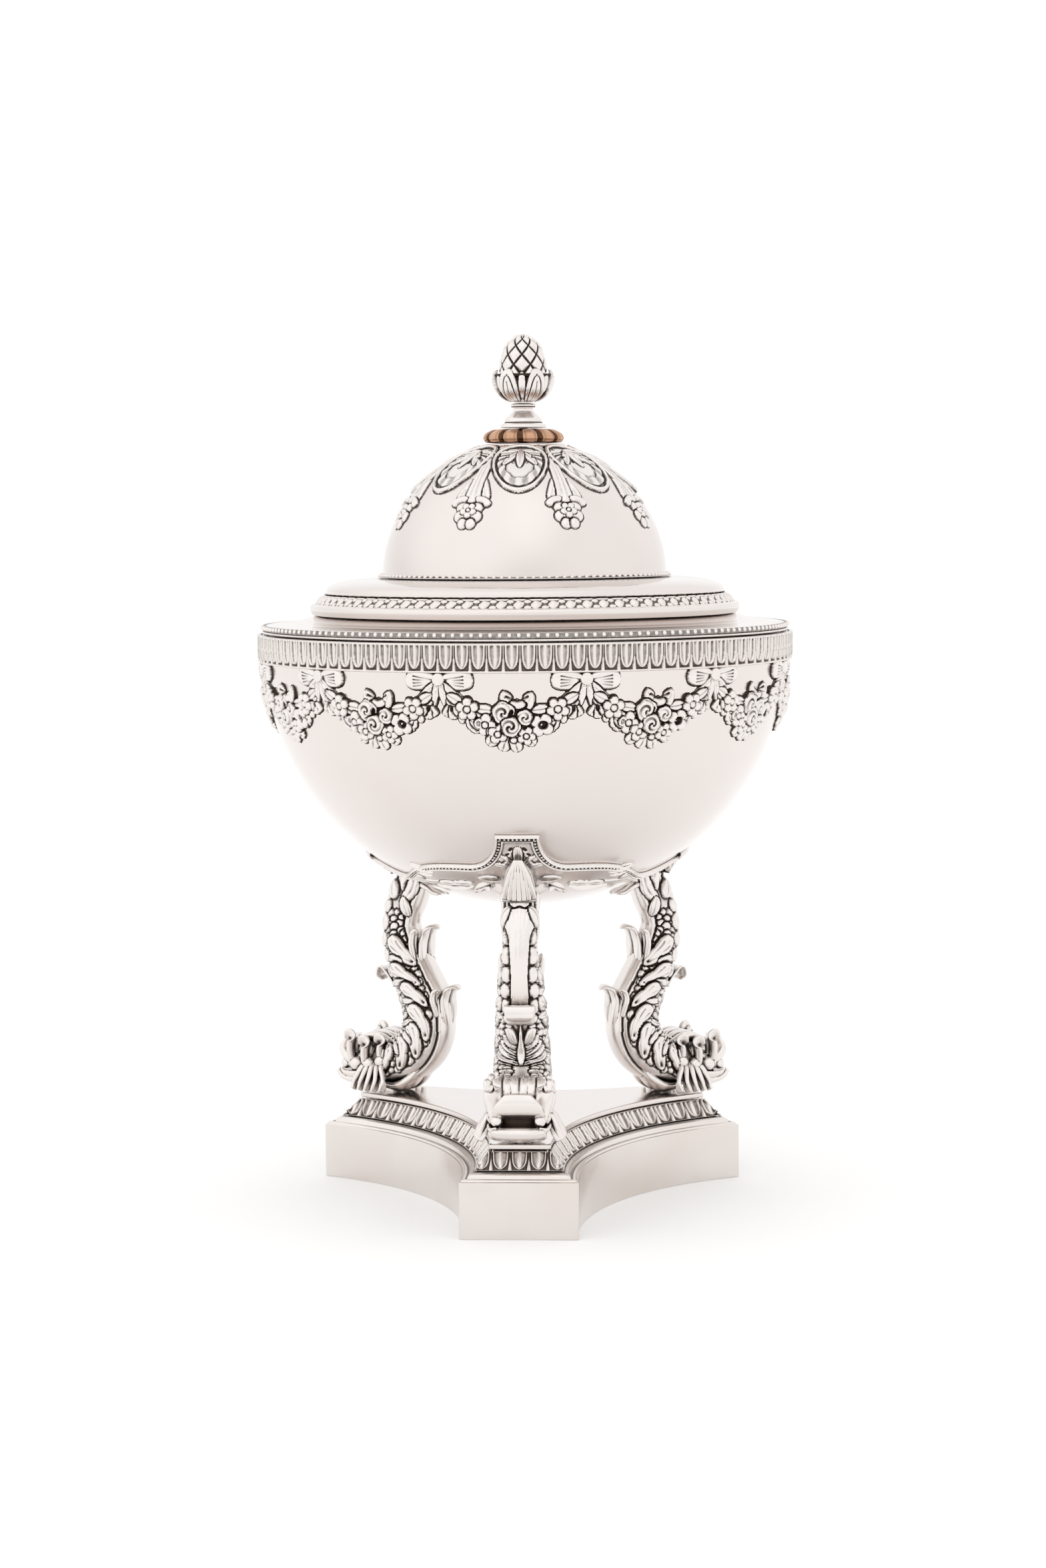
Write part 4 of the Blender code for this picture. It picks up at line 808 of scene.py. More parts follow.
def build_calyx():
    """Palmettes round the finial's disc, with a flower pendant hanging between each two."""
    start = math.asin((DISC_R + 0.4) / DOME_A)
    scale = (DOME_A + DOME_B) / 2
    length = (math.radians(70.6) - start) * scale
    half = TAU / PALMETTES / 2
    turn_g, along = np.meshgrid(np.linspace(-half, half, 140), np.linspace(0.0, length, 230))
    polar = start + along / scale
    radius = DOME_A * np.sin(polar)
    work = Relief(turn_g * radius, along)

    # pendants lie on the patch's two edges
    for side in (-1, 1):
        work.x = (turn_g + side * half) * radius
        for lean in (-1, 1):
            work.leaf(0.0, 14.5, 90 + 22 * lean, 10.5, 2.6, 0.7, base=0.15, belly=0.66, blunt=0.45,
                      rib=0.2)
        work.band([(0, -0.5), (0, 9), (0, 17.5), (0, 23.0)], (1.8, 2.5, 3.4, 4.4), 0.65, base=0.2,
                  flute=0.5, flutes=2)
        for lean in (-1, 1):
            work.leaf(lean * 1.2, 23.6, 90 - 62 * lean, 4.6, 2.4, 0.8, base=0.35, belly=0.55,
                      blunt=0.45, rib=0.15)
            work.ball(lean * 2.1, 26.6, 1.6, 1.5, 0, 0.7, base=0.25, moat=0.3)
            work.ball(lean * 2.3, 29.2, 1.5, 1.6, 0, 0.7, base=0.25, moat=0.3)
            work.ball(lean * 1.1, 31.2, 1.35, 1.5, 0, 0.65, base=0.25, moat=0.3)
        work.flower(0.0, 27.6, 2.2, 5, 0.8, base=0.45, twist=math.pi / 2, centre=0.3)
    work.x = turn_g * radius

    # the palmette: shell of flutes inside a raised rim
    cy, ry, rx = 10.6, 11.2, 7.3
    s, t = work.x, along - cy
    grow = rx * np.where(t < 0, 1 - 0.10 * (t / ry) ** 2, 1.0)
    q = np.hypot(s / grow, t / ry)
    edge = (q - 1) * 7.6
    angle = np.arctan2(s, along - 5.0)
    flutes = 0.5 + 0.5 * np.cos(angle * 24)
    shell = (q > 0.50) & (along > 5.0)
    body = np.where(shell, 0.22 + 0.42 * flutes, 0.24)
    body = body - 0.40 * np.exp(-((q - 0.50) / 0.035) ** 2)
    rim = np.clip(1.2 - ((q - 0.93) / 0.062) ** 2, 0, 1)
    body = np.maximum(body, 0.95 * rim)
    body = body - 0.60 * np.exp(-((q - 0.835) / 0.03) ** 2)
    work.lay(edge, body, 0.15, 0.45)
    for side in (-1, 1):
        work.leaf(side * 0.4, 4.4, 90 - 30 * side, 8.0, 2.0, 0.55, base=0.25, belly=0.5, rib=0.2, moat=0.2)
        work.leaf(side * 0.4, 3.0, 90 - 62 * side, 5.4, 1.9, 0.55, base=0.25, belly=0.5, rib=0.2, moat=0.2)
        work.pit(side * 3.3, 7.6, 0.55, 0.7, 0, 0.8)
        work.pit(side * 1.7, 9.6, 0.45, 0.6, 0, 0.8)
        work.pit(side * 3.6, 3.6, 0.5, 0.6, 0, 0.7)
        work.pit(side * 2.0, 2.2, 0.4, 0.6, 0, 0.6)
    work.leaf(0.0, 3.4, 90, 9.0, 2.2, 0.6, base=0.3, belly=0.5, blunt=0.6, rib=0.22, moat=0.25)
    work.h = np.minimum(work.h, 1.1)
    # darker in hollows, low ground, flute grooves and on the thin foot: oxide plus painted shade and painted
    # contact shadow
    foot = work.skirt(1.5)
    dark = work.patina_and_shade(3.0, 2.6) + 1.2 * np.clip(0.22 - work.h, 0, 0.5)
    dark = dark + 0.20 * (1 - flutes) * shell * (q < 0.84) * (work.h < 0.8)
    dark = np.clip(np.where(foot, 0.72, dark), 0, 1)
    points = dome_spot(FRONT + turn_g, polar, work.h).reshape(-1, 3)
    quads = facing(points, work.keep(), np.array([0, 0, DOME_Z]))
    sector = Shape().add(points, quads, dark.ravel())
    for index in range(PALMETTES):
        sector.turned(TAU * index / PALMETTES).piece(f"calyx_sector_{index + 1}", LID, "chased_silver",
                                             chased, *(["lid_leaf_calyx"] if index == 0 else []))


# ------------------------------------------------------------------ finial

def around(columns):
    return np.arange(columns) / columns * TAU


def wrapped(name, outline, field_of, columns, body, slot, material, node, gain=2.4, cells=2.5,
            bias=0.0):
    """Turned surface with a relief field: field_of(azimuth, share along) gives mm and darkness (oxide plus
    painted shade).
    """
    along = np.concatenate([[0], np.cumsum(np.linalg.norm(np.diff(outline, axis=0), axis=1))])
    slope = np.gradient(outline, axis=0)
    normal = np.stack([slope[:, 1], -slope[:, 0]], -1)
    normal /= np.linalg.norm(normal, axis=1, keepdims=True) + 1e-9
    azimuth, distance = np.meshgrid(around(columns), along)
    field, shade_and_oxide = field_of(azimuth, distance / along[-1])
    dark = np.clip(gain * (blur(field, cells, True) - field) + shade_and_oxide + bias, 0, 1)
    r = np.maximum(outline[:, 0][:, None] + normal[:, 0][:, None] * field, 0.02)
    z = outline[:, 1][:, None] + normal[:, 1][:, None] * field
    points = np.stack([r * np.cos(azimuth), r * np.sin(azimuth), z], -1).reshape(-1, 3)
    middle = np.array([0, 0, outline[:, 1].mean()])
    quads = facing(points, grid_quads(*field.shape, False, True), middle)
    return Shape().add(points, quads, dark.ravel()).piece(name, body, slot, material, node)


def turned_size(node):
    """Radius, lowest and highest point and height of a turned node, in mm."""
    bottom, top = low(node)[2], high(node)[2]
    return high(node)[0], bottom, top, top - bottom


def build_finial():
    collar_r, z0, z1, tall = turned_size("finial_collar")
    outline = spline([(1.5, z0), (collar_r - 1.6, z0), (collar_r - 0.5, z0 + 0.10 * tall),
                      (collar_r - 0.02, z0 + 0.34 * tall), (collar_r - 0.5, z0 + 0.66 * tall),
                      (collar_r - 1.9, z0 + 0.90 * tall), (collar_r - 3.6, z1),
                      (1.5, z1)], 72)

    def gadroon(azimuth, share):
        wave = np.abs(np.sin(azimuth * 6 + 0.5 * share))
        window = np.clip(np.sin(math.pi * np.clip((share - 0.30) / 0.55, 0, 1)), 0, 1) ** 0.5
        field = -0.95 * (1 - wave ** 0.65) * window
        ridge = np.exp(-((wave - 0.55) / 0.10) ** 2) * window
        field = field + 0.16 * ridge - 0.12 * window
        # dark in the hollows between gadroons (oxide plus painted shade), lighter on the ridges as a painted
        # highlight, and darker on the lowest part of the collar
        shade_and_oxide = 1.25 * (1 - wave ** 1.5) * window - 0.5 * ridge + 0.25 * (share < 0.35)
        return field, shade_and_oxide

    wrapped("finial_gadroon", outline, gadroon, 288, LID, "gilt_collar", gilt, "finial_collar",
            gain=1.0)

    stem_r, z0, z1, tall = turned_size("finial_stem")
    outline = spline([(0.02, z0), (stem_r - 0.6, z0), (stem_r, z0 + 0.03 * tall),
                      (stem_r - 0.2, z0 + 0.13 * tall), (stem_r - 1.0, z0 + 0.22 * tall),
                      (stem_r - 1.35, z0 + 0.36 * tall), (stem_r - 2.2, z0 + 0.50 * tall),
                      (2.85, z0 + 0.66 * tall), (2.75, z0 + 0.76 * tall), (3.3, z0 + 0.84 * tall),
                      (3.45, z0 + 0.91 * tall), (3.1, z0 + 0.96 * tall), (2.4, z1), (0.02, z1)], 90)

    def turnings(azimuth, share):
        field = -0.16 * np.exp(-((share - 0.46) / 0.012) ** 2) - 0.16 * np.exp(-((share - 0.76) / 0.010) ** 2)
        # dark in the two cut grooves: oxide plus painted shade
        return field + 0 * azimuth, 0.7 * (field < -0.08)

    wrapped("finial_stem_turned", outline, turnings, 128, LID, "chased_silver", chased,
            "finial_stem")

    cup_r, z0, z1, tall = turned_size("finial_leaf_cup")
    outline = spline([(0.02, z0), (3.0, z0), (0.60 * cup_r, z0 + 0.07 * tall),
                      (0.84 * cup_r, z0 + 0.26 * tall), (0.96 * cup_r, z0 + 0.48 * tall),
                      (1.00 * cup_r, z0 + 0.70 * tall), (0.985 * cup_r, z0 + 0.84 * tall),
                      (0.93 * cup_r, z0 + 0.95 * tall), (0.84 * cup_r, z1),
                      (0.79 * cup_r, z1 - 0.3), (0.76 * cup_r, z1 - 1.2)], 96)

    def leaves(azimuth, share):
        big = np.abs((azimuth * 6 / TAU + 0.5) % 1 - 0.5) * 2
        small = 1 - big
        a = np.clip((share - 0.22) / 0.70, 0, 1)
        half = 0.74 * np.sqrt(np.clip(1 - a ** 2.4, 0, 1))
        edge = (big - half) * 3.4
        inner = (big - 0.46 * np.sqrt(np.clip(1 - (a / 0.80) ** 2.2, 0, 1))) * 3.4
        flare = 0.35 * np.clip((a - 0.55) / 0.45, 0, 1) ** 2
        leaf = np.where(edge < 0, 0.05 + flare - 0.45 * np.exp(-(inner / 0.20) ** 2) * (a < 0.84), -1.6)
        leaf = leaf - 0.25 * np.exp(-(big / 0.06) ** 2) * (a < 0.66)
        under_half = 0.30 * np.sqrt(np.clip(1 - a ** 3, 0, 1))
        narrow = np.where(small < under_half, -0.55 - 0.25 * (small / 0.30) ** 2, -1.6)
        field = np.maximum(leaf, narrow) * (share > 0.20) * (a < 1)
        field = np.where(share >= 0.92, -1.3, field)
        # dark in the deep gaps between leaves, along leaf edges, inner lines and midribs: oxide plus painted
        # shade
        shade_and_oxide = 1.0 * (field < -1.2) + 0.8 * np.exp(-(edge / 0.20) ** 2) * (a < 1) * (share > 0.2)
        shade_and_oxide = shade_and_oxide + 0.75 * np.exp(-(inner / 0.16) ** 2) * (a < 0.84) * (a > 0.02) * (edge < 0)
        return field, shade_and_oxide + 0.5 * np.exp(-(big / 0.05) ** 2) * (a < 0.66) * (a > 0.02)

    wrapped("finial_cup_leaves", outline, leaves, 288, LID, "chased_silver", chased,
            "finial_leaf_cup", gain=1.2)

    cone_r, z0, z1, tall = turned_size("finial_cone")
    share = np.linspace(0, 1, 120)
    radius = cone_r * np.sqrt(np.maximum(1 - share ** 2.6, 0))
    outline = np.stack([np.maximum(radius, 0.02), z0 + share * tall], -1)

    def scales(azimuth, share):
        rows = 2.6 * share ** 1.1
        a = (azimuth * 8 / TAU + rows) % 1
        b = (azimuth * 8 / TAU - rows) % 1
        da = np.minimum(a, 1 - a)
        db = np.minimum(b, 1 - b)
        line = np.minimum(da, db)
        rise = np.clip(line / 0.30, 0, 1)
        field = -0.85 * (1 - rise ** 0.6)
        # dark along the creases between scales: oxide plus painted shade
        return field, 1.1 * np.clip(1 - line / 0.15, 0, 1)

    wrapped("finial_cone_scales", outline, scales, 256, LID, "chased_silver", chased,
            "finial_cone", gain=0.8)


# ------------------------------------------------------------------ plinth

CORNER_D = -low("plinth_wall")[1]
HALF_FACE = 15.25
SCOOP = 13.4
WALL_TOP = 14.6
BAND_FOOT, BAND_TOP = low("leaf_strip_side_1")[2], high("leaf_strip_side_1")[2]
DECK_Z = high("plinth_deck")[2]
DECK_FOOT = low("plinth_deck")[2]
DECK_INSET = 7.0
ALONG = CORNER_D * math.sin(TAU / 6) - HALF_FACE * math.cos(TAU / 6)
ARC_R = (ALONG ** 2 + SCOOP ** 2) / (2 * SCOOP)
HUB = CORNER_D * math.cos(TAU / 6) + HALF_FACE * math.sin(TAU / 6) - SCOOP + ARC_R


def half_face(inset):
    reach = CORNER_D - inset - HUB * math.cos(TAU / 6)
    return HUB * math.sin(TAU / 6) - np.sqrt((ARC_R + inset) ** 2 - reach ** 2)


def side_angle(inset):
    """Half the angle that a hollow side spans about its hub."""
    corner = np.array([CORNER_D - inset, 0.0]) + np.array([0.0, 1.0]) * half_face(inset)
    hub = HUB * np.array([math.cos(TAU / 6), math.sin(TAU / 6)])
    away = corner - hub
    back = -hub / HUB
    return math.acos(np.clip(away @ back / np.linalg.norm(away), -1, 1))


def face_points(inset, across):
    return np.stack([CORNER_D - inset + 0 * across, across], -1)


def side_points(inset, angle):
    """Points on the hollow side after the front corner, by angle about its hub."""
    way = TAU / 6 + math.pi + angle
    r = ARC_R + inset
    return np.stack([HUB * math.cos(TAU / 6) + r * np.cos(way),
                     HUB * math.sin(TAU / 6) + r * np.sin(way)], -1)


def outline(inset, round_to=0.7, side_steps=40, corner_steps=6):
    """Closed outline of the plinth moved in by the inset, with softly rounded corners."""
    beta = side_angle(inset)
    hw = float(half_face(inset))
    third = list(face_points(inset, np.linspace(-hw, hw, corner_steps)))
    third += list(side_points(inset, -np.linspace(-beta, beta, side_steps)[1:-1] * 1.0))
    points = np.array(third)
    whole = []
    for index in range(3):
        c, s = math.cos(FRONT + TAU * index / 3), math.sin(FRONT + TAU * index / 3)
        whole.append(np.stack([points[:, 0] * c - points[:, 1] * s,
                               points[:, 0] * s + points[:, 1] * c], -1))
    whole = np.vstack(whole)
    per = len(points)
    made = []
    for index, here in enumerate(whole):
        if index % per in (0, corner_steps - 1):
            before, after = whole[index - 1], whole[(index + 1) % len(whole)]
            first = here + (before - here) / np.linalg.norm(before - here) * round_to
            last = here + (after - here) / np.linalg.norm(after - here) * round_to
            for t in np.linspace(0, 1, 6):
                made.append(first * (1 - t) ** 2 + 2 * here * t * (1 - t) + last * t * t)
        else:
            made.append(here)
    return np.array(made)


def build_plinth():
    foot, top = 3.4, 6.8
    ledge = BAND_FOOT - 0.3
    section = rounded([
        (1.2, 1.2), (6.0, 1.2), (6.0, 0.0), (0.0, 0.0), (0.0, 0.5), (0.0, WALL_TOP - 0.25),
        (0.0, WALL_TOP), (0.45, WALL_TOP + 0.12), (0.65, WALL_TOP + 0.62), (1.35, WALL_TOP + 0.72),
        (1.55, WALL_TOP + 0.45), (1.9, WALL_TOP + 0.5), (2.1, WALL_TOP + 1.2), (2.55, ledge - 0.35),
        (3.3, ledge), (foot + 1.2, ledge), (top + 1.2, BAND_TOP - 0.2), (top + 3.4, BAND_TOP - 0.1),
        (top + 3.4, BAND_TOP - 1.2), (top + 1.2, BAND_TOP - 2.2), (foot + 1.2, ledge - 1.2),
        (1.2, WALL_TOP - 0.4), (1.2, 8.0)], 0.22)
    rings = []
    for inset, z in section:
        ring = outline(max(inset, 0.0))
        rings.append(np.column_stack([ring, np.full(len(ring), z)]))
    points = np.array(rings)
    inset = section[:, 0]
    # dark line in the groove over the wall and in the corner of the ledge under the leaf band: oxide plus
    # painted shade
    dark = 0.75 * np.exp(-((section[:, 1] - (WALL_TOP + 0.47)) / 0.10) ** 2) * (inset > 1.2)
    dark = np.maximum(dark, 0.8 * np.exp(-((inset - 3.6) / 0.5) ** 2) * (section[:, 1] > WALL_TOP))
    shade_and_oxide = np.repeat(dark, points.shape[1])
    quads = outward(points, grid_quads(len(rings), points.shape[1], True, True))
    shape = Shape().add(points, quads, shade_and_oxide)
    weighted(shape.piece("plinth_wall_sheet", STAND, "plinth_silver", sheet_silver, "plinth_wall"))

    rings = []
    for inset, z in ((DECK_INSET + 0.15, DECK_FOOT), (DECK_INSET, DECK_FOOT + 0.2),
                     (DECK_INSET, DECK_Z - 0.3), (DECK_INSET + 0.12, DECK_Z - 0.1),
                     (DECK_INSET + 0.35, DECK_Z)):
        ring = outline(inset, 0.5)
        rings.append(np.column_stack([ring, np.full(len(ring), z)]))
    edge = outline(DECK_INSET + 0.35, 0.5)
    for share in np.linspace(0.97, 0.001, 12):
        rings.append(np.column_stack([edge * share, np.full(len(edge), DECK_Z)]))
    for share in (0.001, 0.5, 0.97):
        rings.append(np.column_stack([edge * share, np.full(len(edge), DECK_FOOT)]))
    points = np.array(rings)
    shape = Shape().add(points, outward(points, grid_quads(len(rings), points.shape[1], True, True)))
    weighted(shape.piece("plinth_deck_sheet", STAND, "polished_silver", polished, "plinth_deck"))

    rise = BAND_TOP - BAND_FOOT
    slant = math.hypot(rise, top - foot)
    v = np.linspace(0, 1, 44)
    relief = 0.95
    for kind, limit_of in (("corner", half_face), ("side", side_angle)):
        limits = np.array([float(limit_of(foot + (top - foot) * (1 - share))) for share in v])
        if kind == "corner":
            count = 5
            across = np.linspace(-1, 1, 150)[None, :] * limits[:, None]
            pitch = 2 * half_face(foot - 0.4) / count
        else:
            across = np.linspace(-1, 1, 440)[None, :] * limits[:, None]
            pitch = 2 * limits[-1] * (ARC_R + foot) / 17
        gy = np.broadcast_to(v[:, None] * slant, across.shape)
        gx = across if kind == "corner" else across * (ARC_R + foot)
        field = tongues(gx, gy, pitch, -0.35, slant + 0.1, relief, 0.5)
        # darker in the hollows and where the relief is low: oxide plus painted shade
        fine = blur(field, 2.8) - field
        dark = np.clip(2.6 * fine + 0.42 * (1 - field / relief) - 0.02, 0, 1)
        field[[0, -1]] = 0.05
        inset = foot + (top - foot) * (1 - v[:, None]) + 0.95 * 0.8 - field * 0.80
        z = BAND_TOP - v[:, None] * rise + (field - 0.95) * 0.55
        z = np.clip(z, BAND_FOOT - 0.1, BAND_TOP)
        inset = np.clip(inset, foot - 0.4, None)
        plan = face_points(inset, across) if kind == "corner" else side_points(inset, across)
        points = np.concatenate([plan, np.broadcast_to(z, across.shape)[..., None]], -1)
        points = points.reshape(-1, 3)
        quads = facing(points, grid_quads(*across.shape), np.array([0, 0, -20.0]))
        strip = Shape().add(points, quads, dark.ravel())
        for index in range(3):
            strip.turned(FRONT + TAU * index / 3).piece(
                f"plinth_{kind}_leaves_{index + 1}", STAND, "chased_silver", banded,
                f"leaf_strip_{kind}_{index + 1}")


# ------------------------------------------------------------------ cradle

INNER_POLAR, EDGE_POLAR, TAB_POLAR = math.radians(29.5), math.radians(38.4), math.radians(48.8)
WAIST_POLAR, WAIST_DELAY = math.radians(31.2), 1.6
TAB_HALF, TAB_FILLET = math.radians(6.2), math.radians(10.8)


def cradle_edge(azimuth):
    """Polar angle of the cradle's edge either side of a leg's azimuth of 0."""
    away = np.abs(azimuth)
    share = np.clip(1 - (away - TAB_HALF) / TAB_FILLET, 0, 1)
    fillet = (TAB_POLAR - EDGE_POLAR) * (1 - np.sqrt(1 - share ** 2))
    start = TAB_HALF + TAB_FILLET
    sweep = np.clip((away - start) / (TAU / 6 - start), 0, 1)
    sink = (EDGE_POLAR - WAIST_POLAR) / 2 * (1 - np.cos(math.pi * sweep ** WAIST_DELAY))
    return EDGE_POLAR + fillet - sink


def build_cradle():
    """Pierced and chased ring, with an anthemion on each tab and leaves along the ring."""
    half = TAU / 6
    beyond = half - TAB_HALF
    spread = TAB_HALF + beyond * np.linspace(0, 1, 240) ** 1.5
    azimuth = np.concatenate([-spread[:0:-1], np.linspace(-TAB_HALF, TAB_HALF, 84), spread[1:]])
    edge = cradle_edge(azimuth)
    share = np.linspace(0, 1, 74)
    polar = INNER_POLAR + (edge[None, :] - INNER_POLAR) * share[:, None]
    x = azimuth[None, :] * np.sin(polar) * BOWL_R
    y = (polar - INNER_POLAR) * BOWL_R + 0 * x
    work = Relief(x, y, 0.0)
    line = np.stack([azimuth * np.sin(edge) * BOWL_R, (edge - INNER_POLAR) * BOWL_R], -1)
    step = np.linalg.norm(np.diff(line, axis=0), axis=1)
    run = np.concatenate([[0], np.cumsum(step)])
    even = np.linspace(0, run[-1], 420)
    line = np.stack([np.interp(even, run, line[:, k]) for k in (0, 1)], -1)
    best = np.full(x.shape, 1e9)
    where = np.zeros(x.shape)
    for (px, py), at in zip(line, even):
        away = np.hypot(x - px, y - py)
        nearer = away < best
        best = np.where(nearer, away, best)
        where = np.where(nearer, at, where)
    field = np.full(x.shape, 0.05)
    field = np.maximum(field, 0.62 * np.exp(-((best - 0.42) / 0.30) ** 2))
    field = np.maximum(field, 0.62 * np.exp(-((best - 1.95) / 0.26) ** 2))
    beads = 0.5 + 0.5 * np.cos(where * TAU / 1.05)
    field = np.maximum(field, (0.02 + 0.55 * beads) * np.exp(-((best - 1.18) / 0.34) ** 2))
    work.h = field
    inside = best > 2.3
    plain = work.h.copy()
    for side in (-1, 1):
        work.leaf(side * 5.0, 4.6, 90 - side * 84, 6.0, 3.2, 0.50, base=0.12, belly=0.4, rib=0.3,
                  moat=0.25)
        # band of leaves round the foot, ending in a leaf that points to the leg
        work.band([(side * 17.0, 1.1), (side * 24.0, 1.0), (side * 34.0, 1.0), (side * 40.0, 1.0)],
                  (1.8, 2.0, 2.0, 2.0), 0.40, base=0.12, flute=0.4)
        work.leaf(side * 19.0, 1.4, 90 + side * 88, 6.8, 2.9, 0.62, base=0.2, belly=0.5, rib=0.35, lobes=3,
                  veins=0.2)
        work.leaf(side * 22.5, 1.6, 90 + side * 96, 5.4, 2.6, 0.62, base=0.2, belly=0.5, rib=0.35)
        work.leaf(side * 27.5, 2.2, 90 - side * 60, 6.4, 2.4, 0.6, base=0.2, belly=0.5, rib=0.3)
        work.leaf(side * 1.0, 11.5, 90 - side * 42, 6.0, 2.4, 0.50, base=0.12, belly=0.6, rib=0.25,
                  moat=0.25)
        work.leaf(side * 1.4, 11.0, 90 - side * 74, 4.8, 2.0, 0.50, base=0.12, belly=0.6, rib=0.25,
                  moat=0.25)
        work.pit(side * 1.75, 18.3, 0.50, 0.80, side * 30, 0.9)
        work.pit(side * 2.7, 16.2, 0.40, 0.65, side * 45, 0.8)
        work.pit(side * 3.6, 13.6, 0.35, 0.55, side * 50, 0.7)
    work.leaf(0.0, 11.6, 90, 8.0, 2.3, 0.46, base=0.14, belly=0.55, blunt=0.5, rib=0.22, moat=0.3)
    work.pit(0.0, 21.9, 2.2, 0.50, 0, 0.9)
    work.h = np.where(inside, work.h, plain)
    chasing = inside & (np.abs(x) < 8.0) | (best < 2.3)
    # darker in the hollows, between the beads and along the border, lighter right at the edge: oxide plus
    # painted shade
    dark = 3.4 * (blur(work.h, 2.2) - work.h) + 0.7 * np.clip(0.25 - work.h, 0, 1) * chasing
    dark = dark + 0.55 * np.exp(-((best - 1.18) / 0.42) ** 2) * (1.2 - beads) + 0.14 * (best < 2.5)
    dark = np.clip(dark, 0, 1) * np.clip(best / 0.22, 0, 1)
    lift = 0.08 + 0.55 * np.clip(0.3 + best / 0.6, 0, 1) + np.clip(work.h, -0.3, 0.7) * 0.85
    outer = on_bowl(FRONT + azimuth[None, :] + 0 * polar, polar, lift)
    inner = on_bowl(FRONT + azimuth[None, :] + 0 * polar, polar, 0.05)
    rows, columns = x.shape
    points = np.concatenate([outer, inner[::-1]], 0)
    # the underside facing the bowl is darkened evenly: painted shade in the gap, plus oxide
    shade_and_oxide = np.concatenate([dark, np.full(x.shape, 0.25)], 0)
    quads = grid_quads(2 * rows, columns, True, False)
    flat = points.reshape(-1, 3)
    quads = facing(flat, quads, INSIDE)
    sector = Shape().add(flat, quads, shade_and_oxide.ravel())
    # leaf tips at the border's ends, and the leaves that run round below it toward the leg
    for side in (-1, 1):
        for stations, widths in ((((34, 34.8), (37, 35.8), (40, 36.4), (43, 37.2)), (1.4, 2.4, 2.2, 0.6)),
                                 (((36, 33.4), (38.6, 34.0), (41, 34.4), (43.5, 35.0)), (1.4, 2.2, 2.0, 0.6)),
                                 (((40, 29.2), (34, 29.0), (27, 28.6), (21, 28.9)), (1.8, 3.0, 3.4, 0.8)),
                                 (((34, 30.4), (30, 30.8), (26, 31.0), (22.5, 30.4)), (1.4, 2.4, 2.2, 0.6))):
            path = [on_bowl(math.radians(side * a), math.radians(b), 0.35) for a, b in stations]
            leaf, faces, shade_and_oxide = blade(path, widths, 0.8, rib=0.24, lean=math.pi / 2, lobes=3, steps=36,
                                     across=14)
            sector.add(turn(leaf, FRONT), faces, np.clip(shade_and_oxide + 0.10, 0, 1))
    for index in range(3):
        sector.turned(TAU * index / 3).piece(f"cradle_sector_{index + 1}", STAND, "chased_silver",
                                             chased, *(["cradle_ring"] if index == 0 else []))


# ------------------------------------------------------------------ dolphin legs

def blade(path, widths, thickness, rise=0.0, rib=0.25, twist=0.0, steps=30, across=18, lobes=0,
          lean=0.0):
    """Curved leaf along a path of (radius, side, height) points, with a rib and rolled edges."""
    line = spline(path, steps)
    wide = np.interp(np.linspace(0, 1, steps), np.linspace(0, 1, len(widths)), widths)
    share = np.linspace(0, 1, steps)
    if lobes:
        wide = wide * (0.84 + 0.16 * np.abs(np.sin(math.pi * lobes * share)) ** 0.6)
    thick = thickness * (1 - 0.55 * share) * np.minimum(1, wide / wide.max() + 0.25)
    ahead = np.gradient(line, axis=0)
    ahead /= np.linalg.norm(ahead, axis=1, keepdims=True)
    level = np.array([0.0, math.cos(lean), math.sin(lean)])
    side = level - (ahead @ level)[:, None] * ahead
    side /= np.linalg.norm(side, axis=1, keepdims=True)
    up = np.cross(ahead, side)
    turning = twist * share
    side, up = (side * np.cos(turning)[:, None] + up * np.sin(turning)[:, None],
                up * np.cos(turning)[:, None] - side * np.sin(turning)[:, None])
    round_b = np.arange(2 * across) / (2 * across) * TAU
    b = np.cos(round_b)[None, :]
    face = np.sin(round_b)[None, :]
    body = np.sign(face) * np.abs(face) ** 0.6 * thick[:, None] / 2
    cup = rise * b ** 2 * np.sin(math.pi * np.clip(share, 0, 1))[:, None] ** 0.5
    mark = np.where(face > 0, -rib * np.exp(-(b / 0.16) ** 2) * (1 - share[:, None] ** 3), 0)
    veins = 0
    if lobes:
        slant = lobes * share[:, None] - 0.6 * np.abs(b)
        veins = np.where(face > 0, 0.3 * rib * np.cos(TAU * slant), 0)
    lift = body + cup + mark + veins
    points = (line[:, None, :] + side[:, None, :] * (b * wide[:, None] / 2)[..., None]
              + up[:, None, :] * lift[..., None])
    # dark in the rib groove: oxide plus painted shade
    dark = np.clip(-2.6 * mark / max(rib, 0.05) * 0.33 + 0 * b + 0 * share[:, None], 0, 1)
    closing = np.concatenate([points[:1] * 0 + points[:1].mean(1, keepdims=True), points,
                              points[-1:] * 0 + points[-1:].mean(1, keepdims=True)])
    dark = np.concatenate([dark[:1], dark, dark[-1:]])
    points = closing.reshape(-1, 3)
    return points, outward(points, grid_quads(steps + 2, 2 * across, False, True)), dark.ravel()


